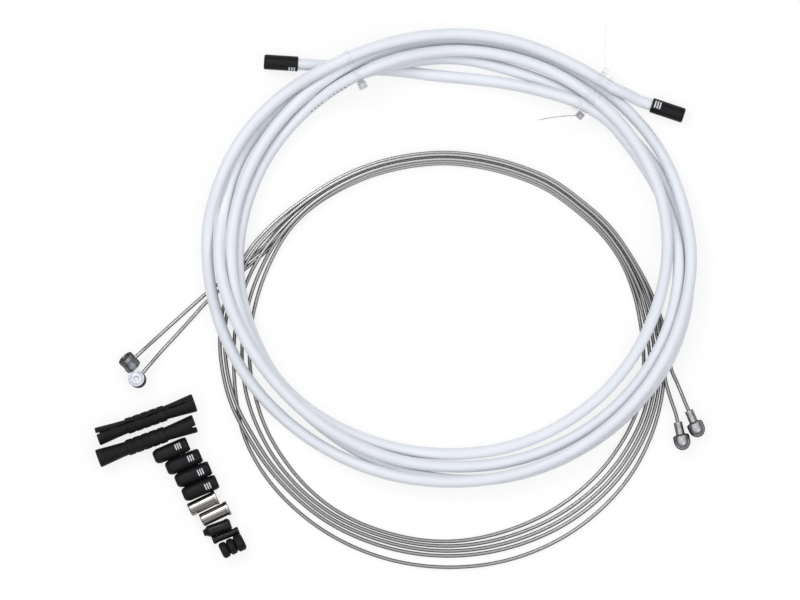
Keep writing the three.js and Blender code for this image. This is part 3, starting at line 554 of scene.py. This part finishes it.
def print_ticks():
    """A short row of plain printed ticks, in groups, on the inner side of one turn, at the upper left."""
    housing.data.materials.append(materials["housing_mark"])
    for face in housing.data.polygons:
        x, y, _ = np.array(face.center) / MM - SHIFT - (*housing_middle, 0)
        y /= housing_flatness
        bearing = math.degrees(math.atan2(x, y)) % 360
        in_row = ticks_from < bearing < ticks_to and tick_inner < math.hypot(x, y) < tick_outer
        tick = int(bearing / tick_pitch)
        if in_row and tick % 2 == 0 and tick % tick_group != 0 and face.normal.z > tick_upward:
            face.material_index = 1


print_ticks()
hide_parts("housing")


# Inner wires: twelve outer strands laid round the core. Each wire runs a little way into its heads.
strand_count, groove_depth, strand_lay = 12, 0.06, 13.0
# The groove tone 0.0, against 1.0 on the crests, is painted shade between the strands.
wire_section = [(wire_diameter / 2, 1.0), (wire_diameter / 2 - groove_depth, 0.0)] * strand_count
wire_inset = 1.4


def direction_at(points, end):
    """Unit direction that leaves a line at its start (0) or its end (1)."""
    step = points[0] - points[1] if end == 0 else points[-1] - points[-2]
    return step / np.linalg.norm(step)


def build_wire(node, lead, turns, tail):
    line = smooth_curve(cord_points(lead, turns, tail, wire_middle, 1.0, wire_route_step, wire_diameter))
    with_ends = np.vstack([
        line[0] + direction_at(line, 0) * wire_inset,
        line,
        line[-1] + direction_at(line, 1) * wire_inset,
    ])
    step = 1.0
    path, length = even(with_ends, step)
    turn = 2 * math.pi / strand_lay
    piece = tube(node + "_strands", in_frame(path), wire_section, step, turn, materials["wire"])
    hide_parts(node)
    return line, (piece, path, length)


short_line, short_wire = build_wire("inner_wire_short", short_lead, short_turns, short_tail)
long_line, long_wire = build_wire("inner_wire_long", long_lead, long_turns, long_tail)


# Turned pieces
def turned(
    name, node, frame_at, corners, material, segments=48, sharp=38, extra=None, painted=None, steps=4,
):
    vertices, faces = lathe(rounded(corners, steps), segments)
    piece = mesh_object(name, vertices, faces, material, frame_at, sharp, extra, painted)
    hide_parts(node)
    return piece


seat = 0.3
ferrule_length, ferrule_diameter, ferrule_socket, ferrule_depth = 14.5, 6.4, 5.6, 11.3
loose_length, loose_diameter, loose_socket, loose_depth = 15.8, 6.2, 5.3, 12.0
loose_swell = 0.34
wire_hole, hole_flare = 2.2, 0.3
ring_place, ring_depth = 2.2, 0.14


def ferrule_corners(diameter, length, socket, depth, grooved):
    """Ferrule from its closed end, with a wire hole, to its socket. A grooved one has bevelled ends."""
    outer, hole, socket_radius = diameter / 2, wire_hole / 2, socket / 2
    ring, floor = length - ring_place, length - depth
    wall = [(outer, 0, 1.0), (outer, length, 0.3)]
    if grooved:
        wall = [
            (outer - 1.3, 0.05, 0.4), (outer - 0.5, 0.7, 0.8), (outer, 2.2, 0.9),
            (outer, ring - 0.32, 0.05), (outer - ring_depth, ring - 0.2, 0.04),
            (outer - ring_depth, ring + 0.05, 0.04), (outer, ring + 0.17, 0.05),
            (outer, length - 1.9, 0.8), (outer - 0.2, length - 0.7, 0.5), (outer - 0.55, length, 0.15),
        ]
    return [
        (hole, 0.35, 0.15), (hole + hole_flare, 0, 0.15), *wall,
        (socket_radius + 0.03, length, 0.02), (socket_radius, length - 0.4, 0.2),
        (socket_radius, floor, 0.3), (hole, floor, 0.15),
    ]


printed_beyond = 2.8


def bar_mark(length, centre_angle, bars):
    """Plain printed bars near the open end: True where a face belongs to one of them."""
    def inside(point):
        angle = math.degrees(math.atan2(point[1], point[0])) - centre_angle
        angle = (angle + 180) % 360 - 180
        from_end = length - point[2]
        on_bar = any(a <= from_end <= b and low <= angle <= high for a, b, low, high in bars)
        return on_bar and math.hypot(point[0], point[1]) > printed_beyond
    return inside


def ringed(corners, cuts):
    """Adds plain rings along the outer wall, so that printed marks have clean edges."""
    out = []
    for corner, following in zip(corners, corners[1:] + corners[:1]):
        out.append(corner)
        level = abs(corner[0] - following[0]) < 1e-6 and corner[0] > printed_beyond
        if level and following[1] > corner[1]:
            inner_cuts = [c for c in sorted(cuts) if corner[1] + 0.9 < c < following[1] - 0.5]
            out += [(corner[0], c, 0) for c in inner_cuts]
    return out


# Printed bars as [from, to] distances from the open end and [low, high] angles.
cap_bars = [(1.1, 1.7, -30, 30), (2.2, 2.8, -30, 30), (3.3, 3.9, -30, 30)]
loose_bars = [(3.2, 3.7, -24, 24), (4.2, 4.7, -24, 24), (5.2, 5.7, -24, 24)]


def ferrule(name, node, frame_at, diameter, length, socket, depth, bars, mark_angle):
    edges = [length - edge for bar in bars for edge in bar[:2]]
    corners = ringed(ferrule_corners(diameter, length, socket, depth, bars is loose_bars), edges)
    return turned(
        name, node, frame_at, corners, materials["black"], 90, 38,
        materials["mark"], bar_mark(length, mark_angle, bars),
    )


cap_size = (ferrule_diameter, ferrule_length, ferrule_socket, ferrule_depth)
for name, node, end, mark_angle in (
    ("end_cap_left", "housing_ferrule_left", 0, 62),
    ("end_cap_right", "housing_ferrule_right", 1, 20),
):
    outward = direction_at(housing_line, end)
    closed = housing_line[-end] + outward * (seat + ferrule_length - ferrule_depth)
    at = axis_frame(closed, -outward)
    ferrule(name, node, at, *cap_size, cap_bars, mark_angle)


# The loose fittings lie in a fan, as in the CAD source.
# Each place is [heading, slide along the one before, gap to its side].
class Fan:
    def __init__(self, start, heading):
        self.start, self.heading, self.radius = np.array(start, float), heading, 0.0

    def lay(self, place, diameter, height):
        """Frame of the next fitting, whose axis lies at the given height."""
        heading, slide, gap = place
        along = self.along()
        aside = np.array((along[1], -along[0]))
        self.start = self.start + along * slide + aside * (self.radius + gap + diameter / 2)
        self.heading, self.radius = heading, diameter / 2
        return self.frame(height)

    def along(self):
        turn = math.radians(self.heading)
        return np.array((math.cos(turn), math.sin(turn)))

    def frame(self, height, shift=0.0):
        along = self.along()
        return axis_frame((*(self.start + along * shift), height), (*along, 0))


fan = Fan((-130.2, -55.1), 19.4)
mouth_radius = 4.0
sleeve_a_frame = fan.lay((19.4, 0, 0), 2 * mouth_radius, mouth_radius)
sleeve_b_frame = fan.lay((20, -2.8, 0.9), 2 * mouth_radius, mouth_radius)

for node, place, mark_angle in (
    ("black_ferrule_a", (23.3, 22.5, 0.8), -12),
    ("black_ferrule_b", (23, 3, 0.3), -8),
    ("black_ferrule_c", (23, 1.6, 0.3), 4),
    ("black_ferrule_d", (23, 0.5, 0.3), 8),
):
    wide = loose_diameter + loose_swell
    at = fan.lay(place, loose_diameter, wide / 2)
    ferrule(node + "_cap", node, at, wide, loose_length, loose_socket, loose_depth, loose_bars, mark_angle)


# Silver ferrules
silver_rim, silver_rim_dressed = 2.9, 3.1
silver_corners = [
    (1.0, 0.3, 0.1), (1.25, 0, 0.1), (2.85, 0, 0.75), (2.85, 11.35, 0.1),
    (silver_rim_dressed, 11.6, 0.15), (silver_rim_dressed, 12.9, 0.25),
    (2.3, 12.9, 0.12), (2.2, 12.4, 0.1), (2.2, 2.4, 0.3), (1.0, 2.4, 0.1),
]
for node, place in (("silver_ferrule_a", (26, 0.1, 0.8)), ("silver_ferrule_b", (25.5, 2.6, 0.4))):
    at = fan.lay(place, 2 * silver_rim, silver_rim_dressed)
    turned(node + "_shell", node, at, silver_corners, materials["nickel"], 64)


# Small end pieces and rings
nose_length, nose_flange, nose_flange_dressed, nose_body = 12.3, 2.3, 2.7, 2.52
stem_length, stem_end, stem_shank = 12.0, 1.8, 1.6
nose_frame = fan.lay((19.5, -1.5, 0.1), 2 * nose_flange, nose_flange_dressed)
stem_frame = fan.lay((21.4, 2.6, 0.1), 2 * stem_end, stem_end)
nose_corners = [
    (0.5, 0, 0.1), (1.3, 0, 0.5), (1.6, 1.1, 0.4), (nose_body, 2.4, 1.1), (nose_body, nose_length - 2.5, 0.2),
    (nose_flange_dressed, nose_length - 1.9, 0.5), (nose_flange_dressed, nose_length - 0.8, 0.8),
    (1.9, nose_length, 0.6), (0.6, nose_length, 0.15), (0.5, nose_length - 0.4, 0.1),
]
stem_corners = [
    (0.5, 0, 0.1), (stem_end, 0, 0.7), (stem_end, 1.2, 0.5),
    (stem_shank, 2.1, 0.5), (stem_shank, stem_length - 1.3, 0.15),
    (1.75, stem_length - 1.1, 0.3), (1.75, stem_length, 0.3),
    (0.6, stem_length, 0.1), (0.5, stem_length - 0.3, 0.1),
]
for node, at, corners in (("end_nose", nose_frame, nose_corners), ("end_stem", stem_frame, stem_corners)):
    turned(node + "_shell", node, at, corners, materials["end"], 56)

donut_gap, donut_swell, donut_start = 0.3, 0.14, 0.0
donut_rows = (("donut_a", 7.0, 3.1), ("donut_b", 7.0, 3.1), ("donut_c", 7.4, 3.7))
fan.lay((26, 1.8, 0.4), donut_rows[0][1], donut_rows[0][1] / 2)
for node, diameter, width in donut_rows:
    outer, low, high = diameter / 2, -donut_swell, width + donut_swell
    donut_corners = [
        (0.8, low + 0.25, 0.15), (1.1, low, 0.2), (outer - 0.9, low, 0.5), (outer, low + 0.7, 0.6),
        (outer, high - 0.7, 0.6), (outer - 0.9, high, 0.5), (1.1, high, 0.2), (0.8, high - 0.25, 0.15),
    ]
    at = fan.frame(outer, donut_start)
    turned(node + "_ring", node, at, donut_corners, materials["rubber"], 56)
    donut_start += width + donut_gap


# Cast heads
head_radius, barrel_waist, barrel_length = 3.5, 3.32, 6.0
face_from, face_radius = 5.5, 3.3
barrel_half = [
    (0, 0.35, 0), (0.9, 0.35, 0.1), (1.15, 0.1, 0.1), (2.3, 0.1, 0.1), (2.45, 0.28, 0.08), (2.75, 0.28, 0.08),
    (2.9, 0, 0.1), (head_radius, 0, 0.4), (head_radius, 1.7, 0.2), (barrel_waist, 2.0, 0.2),
]
barrel_corners = barrel_half + [(r, barrel_length - along, fillet) for r, along, fillet in barrel_half[::-1]]
pear_corners = [
    (0, 0.5, 0), (0.85, 0.5, 0.05), (1.15, 0.05, 0.15), (1.8, 0, 0.35), (1.85, 5.35, 0.25),
    (2.9, 5.6, 0.25), (head_radius, 6.1, 0.3), (head_radius, 8.9, 0.25), (3.22, 9.9, 0.4),
    (2.66, 10.9, 0.7), (1.7, 11.75, 0.9), (0.8, 12.12, 0.5), (0, 12.2, 0),
]


def flat_outward(line, end):
    """Level unit direction that leaves a line at its start (0) or its end (1)."""
    outward = direction_at(line, end) * (1, 1, 0)
    return outward / np.linalg.norm(outward)


def barrel_head(node, line, standing, tilt, face_material=None):
    """Barrel head on the start of a wire, lying across it or standing, and tilted by some degrees."""
    outward = flat_outward(line, 0)
    across, up = np.array((-outward[1], outward[0], 0.0)), np.array((0.0, 0.0, 1.0))
    main, other = (up, across) if standing else (across, up)
    axis = main * math.cos(math.radians(tilt)) + other * math.sin(math.radians(tilt))
    start = line[0] + outward * (seat + head_radius) - axis * barrel_length / 2
    return turned(
        node + "_cast", node, axis_frame(start, axis), barrel_corners, materials["head"],
        56, 32, face_material, lambda p: p[2] > face_from and math.hypot(p[0], p[1]) < face_radius, 3,
    )


def pear_head(node, line):
    outward = flat_outward(line, 1)
    at = axis_frame(line[-1] + outward * seat, outward)
    return turned(node + "_cast", node, at, pear_corners, materials["pear"], 56, 24, steps=3)


barrel_a = barrel_head("barrel_head_a", short_line, False, -20)
barrel_b = barrel_head("barrel_head_b", long_line, True, -10, materials["face"])
pear_a = pear_head("pear_head_a", short_line)
pear_b = pear_head("pear_head_b", long_line)


# Frame sleeves: a slit tube with wide mouths and five flat ribs
sleeve_length, sleeve_rings, sleeve_sides = 44.0, 170, 88
waist_radius, ribbed_radius, flare_power = 2.95, 3.23, 1.15
bore_radius, bore_flare, bore_flare_length = 2.3, 0.8, 12.0
rib_width, rib_gap, rib_count, rib_height, rib_edge = 3.1, 0.5, 5, 0.22, 0.35
notch_half, notch_length, notch_reach = 0.36, 1.6, 6
mouth_round, mouth_rings = 0.7, [0.0, 0.06, 0.2, 0.4, 0.65]
lip_depth, lip_width = 0.12, 0.5


def ease(x):
    x = min(max(x, 0.0), 1.0)
    return x * x * (3 - 2 * x)


def sleeve_radius(s):
    ribbed = rib_count * rib_width + (rib_count - 1) * rib_gap
    first = (sleeve_length - ribbed) / 2
    inset = min(s, sleeve_length - s)
    radius = waist_radius + (mouth_radius - waist_radius) * max(0.0, 1 - inset / first) ** flare_power
    if first < s < first + ribbed:
        radius = ribbed_radius
    if inset < mouth_round:
        radius -= mouth_round * (1 - math.sqrt(1 - (1 - inset / mouth_round) ** 2))
    starts = [first + i * (rib_width + rib_gap) for i in range(rib_count)]
    rib = max(ease((s - a) / rib_edge) * ease((a + rib_width - s) / rib_edge) for a in starts)
    return radius + rib * rib_height


def sleeve_bore(s):
    inset = min(s, sleeve_length - s)
    return bore_radius + bore_flare * max(0.0, 1 - inset / bore_flare_length)


def slit_at(s, seed):
    """Half the width of the slit at a place along the sleeve, and how far the slit wanders there."""
    half = 0.26 + 0.10 * math.sin(s * 0.55 + seed) + 0.07 * math.sin(s * 1.3 + 2 * seed)
    return half, 0.16 * math.sin(s * 0.33 + 1.7 * seed)


def notched(s, notch_end):
    """Place along the sleeve of a point at s in the notch, which pulls the wall in at one end."""
    inset = s if notch_end == 0 else sleeve_length - s
    if inset < notch_reach:
        inset = notch_length + inset * (1 - notch_length / notch_reach)
    return inset if notch_end == 0 else sleeve_length - inset


def sleeve(node, at, slit_turn, notch_end, notch_side, seed):
    stations = sorted(set(
        mouth_rings
        + [sleeve_length - inset for inset in mouth_rings]
        + list(np.round(np.linspace(1, sleeve_length - 1, sleeve_rings), 3))
    ))
    vertices = []
    for s in stations:
        outer, bore = sleeve_radius(s), sleeve_bore(s)
        half, drift = slit_at(s, seed)
        start = math.radians(slit_turn) + (drift + half) / outer
        sweep = 2 * math.pi - 2 * half / outer
        for wall, radius in (("outer", outer), ("bore", bore)):
            for k in range(sleeve_sides + 1):
                u = k / sleeve_sides if wall == "outer" else 1 - k / sleeve_sides
                angle, reach = start + u * sweep, radius
                edge = min(u, 1 - u) * sweep * outer
                if wall == "outer" and edge < lip_width:
                    reach -= lip_depth * (1 - edge / lip_width) ** 2
                x, y = reach * math.cos(angle), reach * math.sin(angle)
                in_notch = abs(y - notch_side) < notch_half
                vertices.append((x, y, notched(s, notch_end) if in_notch else s))
    ring = 2 * (sleeve_sides + 1)
    faces = ring_faces(len(stations), ring)
    for base in (0, (len(stations) - 1) * ring):
        for k in range(sleeve_sides):
            faces.append((base + k, base + k + 1, base + ring - 2 - k, base + ring - 1 - k))
    piece = mesh_object(node + "_skin", vertices, faces, materials["rubber"], at, 40)
    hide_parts(node)


sleeve("frame_sleeve_a", sleeve_a_frame, -25, 0, -1.3, 0.4)
sleeve("frame_sleeve_b", sleeve_b_frame, 150, 1, 1.2, 2.1)


# Zip ties
strap_width, strap_thickness, strap_corner, strap_points = 2.5, 0.5, 0.25, 150
head_bevel, head_recess, recess_depth = 0.45, 0.55, 0.9
tail_steps, tail_half_height, tail_half_thickness, ratchet_height = 28, 0.9, 0.22, 0.04


def outline_round(discs, radius, sides=24):
    """Tight outline round discs of one radius, as a row of points."""
    points = []
    for x, y in discs:
        for i in range(sides):
            angle = (i + 0.5) / sides * 2 * math.pi
            points.append((x + radius * math.cos(angle), y + radius * math.sin(angle)))
    points.sort()

    def turn(o, a, b):
        return (a[0] - o[0]) * (b[1] - o[1]) - (a[1] - o[1]) * (b[0] - o[0])

    def half(row):
        chain = []
        for p in row:
            while len(chain) >= 2 and turn(chain[-2], chain[-1], p) <= 1e-6:
                chain.pop()
            chain.append(p)
        return chain[:-1]

    return half(points) + half(points[::-1])


def loop_even(points, count):
    closed = np.array([*points, points[0]], float)
    return resampled(closed, lengths_along(closed), count)[:-1]


def cut_route(path, origin, outward, across):
    """Places [out, height] where a path crosses the plane through origin that looks along across."""
    found = []
    rel = path - origin
    side = rel @ across
    for i in range(1, len(path)):
        if side[i - 1] * side[i] <= 0 and rel[i - 1] @ outward > 0:
            cut = rel[i - 1] + (rel[i] - rel[i - 1]) * (side[i - 1] / (side[i - 1] - side[i]))
            found.append((float(cut @ outward), float(cut[2])))
    return found


def rounded_box(size, centre):
    """Box with soft edges and a recess in its top."""
    box = bmesh.new()
    bmesh.ops.create_cube(box, size=1.0)
    bmesh.ops.scale(box, vec=size, verts=box.verts)
    bmesh.ops.bevel(box, geom=list(box.edges), offset=head_bevel, segments=4, affect="EDGES", profile=0.5)
    top = max(box.faces, key=lambda f: (round(f.calc_center_median().y, 4), f.calc_area()))
    bmesh.ops.inset_region(box, faces=[top], thickness=head_recess, use_even_offset=True)
    for vertex in top.verts:
        vertex.co.y -= recess_depth
    bmesh.ops.translate(box, vec=centre, verts=box.verts)
    box.verts.index_update()
    vertices = [tuple(v.co) for v in box.verts]
    faces = [tuple(v.index for v in f.verts) for f in box.faces]
    box.free()
    return vertices, faces


def joined(parts):
    vertices, faces = [], []
    for more_vertices, more_faces in parts:
        faces += [tuple(len(vertices) + i for i in face) for face in more_faces]
        vertices += more_vertices
    return vertices, faces


def strap_ring(loop):
    """Rounded strap section swept round a closed loop in the (out, height) plane."""
    count = len(loop)
    w, t = strap_width / 2, strap_thickness / 2
    flat_w, flat_t = w - strap_corner, t - strap_corner
    section = [
        (-flat_w, -t), (flat_w, -t), (w, -flat_t), (w, flat_t),
        (flat_w, t), (-flat_w, t), (-w, flat_t), (-w, -flat_t),
    ]
    vertices = []
    for i in range(count):
        ahead = loop[(i + 1) % count] - loop[i - 1]
        ahead /= np.linalg.norm(ahead)
        normal = np.array((ahead[1], -ahead[0]))
        for wide, thick in section:
            p = loop[i] + normal * thick
            vertices.append((p[0], p[1], wide))
    return vertices, ring_faces(count, len(section), closed=True)


def strap_tail(start, direction, height, bow):
    """Thin strap that stands on its edge and tapers to its tip."""
    direction = np.array(direction, float)
    along = direction / np.linalg.norm(direction)
    side = np.array((-along[1], along[0]))
    vertices = []
    for i in range(tail_steps + 1):
        u = i / tail_steps
        tall = tail_half_height * (1 - 0.45 * ease((u - 0.8) / 0.2))
        thin = tail_half_thickness * (1 - 0.25 * ease((u - 0.85) / 0.15))
        p = np.array(start) + direction * u + side * bow * math.sin(math.pi * u)
        ratchet = ratchet_height * (1 if i % 2 else -1) if 1 < i < tail_steps - 3 else 0
        for out, up in ((-thin, -tall), (thin + ratchet, -tall), (thin + ratchet, tall), (-thin, tall)):
            vertices.append((p[0] + side[0] * out, height + up, p[1] + side[1] * out))
    last = tail_steps * 4
    ends = [(3, 2, 1, 0), (last, last + 1, last + 2, last + 3)]
    return vertices, ring_faces(tail_steps + 1, 4) + ends


housing_points, _ = even(housing_line, 12.0)


def tie(node, bearing, head_side, tail, bow, head_size, head_material):
    """Zip tie round the turns at a bearing, with its head on the outer (1) or the inner side (-1)."""
    angle = math.radians(bearing)
    origin = np.array((*housing_middle, 0.0))
    outward = np.array((math.sin(angle), housing_flatness * math.cos(angle), 0.0))
    outward /= np.linalg.norm(outward)
    across = np.array((-outward[1], outward[0], 0.0))
    discs = []
    for shift in (-strap_width / 2, 0, strap_width / 2):
        discs += cut_route(housing_points, origin + across * shift, outward, across)
    inside = housing_diameter / 2 + seat
    loop = loop_even(outline_round(discs, inside + strap_thickness / 2), strap_points)
    outer = np.array(outline_round(discs, inside + strap_thickness))
    edge = outer[np.argmax(outer[:, 0] * head_side)]
    head_deep, head_across, head_height = head_size
    head_out = edge[0] + head_side * (head_deep / 2 - strap_thickness)
    parts = [strap_ring(loop), rounded_box((head_deep, head_height, head_across), (head_out, edge[1], 0))]
    if tail is not None:
        level = np.array((*tail, 0.0))
        stretch = 1 + head_deep / 2 / np.linalg.norm(level)
        local = (float(level @ outward) * stretch, float(level @ -across) * stretch)
        parts.append(strap_tail((head_out, 0.0), local, edge[1], bow))
    place = in_frame(origin) * MM
    at = Matrix((
        (outward[0], 0, -across[0], place[0]),
        (outward[1], 0, -across[1], place[1]),
        (outward[2], 1, -across[2], 0),
        (0, 0, 0, 1),
    ))
    inner_side = head_deep / 2 + 0.05
    piece = mesh_object(
        node + "_strap", *joined(parts), materials["nylon"], at, 40, materials[head_material],
        lambda point: (point[0] - head_out) * head_side > -inner_side,
    )
    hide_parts(node)


tie("tie_left", 333.8, -1, None, 0, (3.4, 3.8, 5.0), "nylon_milky")
tie("tie_right", 40.4, -1, (-16.6, -1.9), 0.5, (2.8, 3.4, 3.4), "nylon_thick")
tie("tie_loose", 38, 1, (0.3, 19.1), -0.5, (2.8, 3.4, 3.4), "nylon_thin")


# Floor, lamps and world
floor_level, floor_reach, floor_glow = -0.0003, 6.0, 0.8


def make_floor():
    """White floor that glows by itself where it is seen, and takes shadows elsewhere."""
    grid = bpy.data.meshes.new("floor")
    signs = ((-1, -1), (1, -1), (1, 1), (-1, 1))
    grid.from_pydata([(x * floor_reach, y * floor_reach, floor_level) for x, y in signs], [], [(0, 1, 2, 3)])
    floor = bpy.data.objects.new("floor", grid)
    scene.collection.objects.link(floor)
    m, s = node_material("floor_white", (0.97, 0.97, 0.97), 0.85, specular=0.1)
    glow = add(m, "Emission", {"Color": (1, 1, 1, 1), "Strength": 1.0})

    def combine(operation, first, second):
        return add(m, "Math", {0: first, 1: second}, operation).outputs[0]

    rays = add(m, "LightPath", {}).outputs
    seen = combine("MAXIMUM", rays["Is Camera Ray"], rays["Is Glossy Ray"])
    seen = combine("MAXIMUM", seen, rays["Is Transmission Ray"])
    share = combine("MULTIPLY", seen, floor_glow)
    mix = add(m, "MixShader", {0: share, 1: s.outputs[0], 2: glow.outputs[0]})
    fill(m, m.node_tree.nodes["Material Output"], {"Surface": mix.outputs[0]})
    grid.materials.append(m)


def make_world():
    """Bright overhead and darker round the horizon, as under a large soft box."""
    world = bpy.data.worlds.new("studio")
    scene.world = world
    world.use_nodes = True
    place = add(world, "TexCoord", {})
    split = add(world, "SeparateXYZ", {"Vector": place.outputs["Generated"]})
    ramp = add(world, "ValToRGB", {"Fac": split.outputs["Z"]})
    stops = ramp.color_ramp.elements
    stops[0].color, stops[1].color = (0.07, 0.07, 0.072, 1), (0.98, 0.985, 1, 1)
    for height, level in ((0.25, 0.10), (0.5, 0.36), (0.8, 0.88)):
        stops.new(height).color = (level, level, level * 1.02, 1)
    background = world.node_tree.nodes["Background"]
    fill(world, background, {"Strength": 1.32, "Color": ramp.outputs["Color"]})


def soft_box(name, location, size, power):
    """Square area lamp that looks at the middle of the floor."""
    light = bpy.data.lights.new(name, "AREA")
    light.size = size
    light.energy = power
    lamp = bpy.data.objects.new(name, light)
    scene.collection.objects.link(lamp)
    lamp.location = location
    lamp.rotation_euler = (-Vector(location)).to_track_quat("-Z", "Y").to_euler()


make_floor()
make_world()
soft_box("key", (-0.75, 0.95, 1.5), 0.7, 8.0)
soft_box("fill", (1.1, -0.6, 1.6), 0.9, 2.0)
scene.view_settings.view_transform = "Standard"
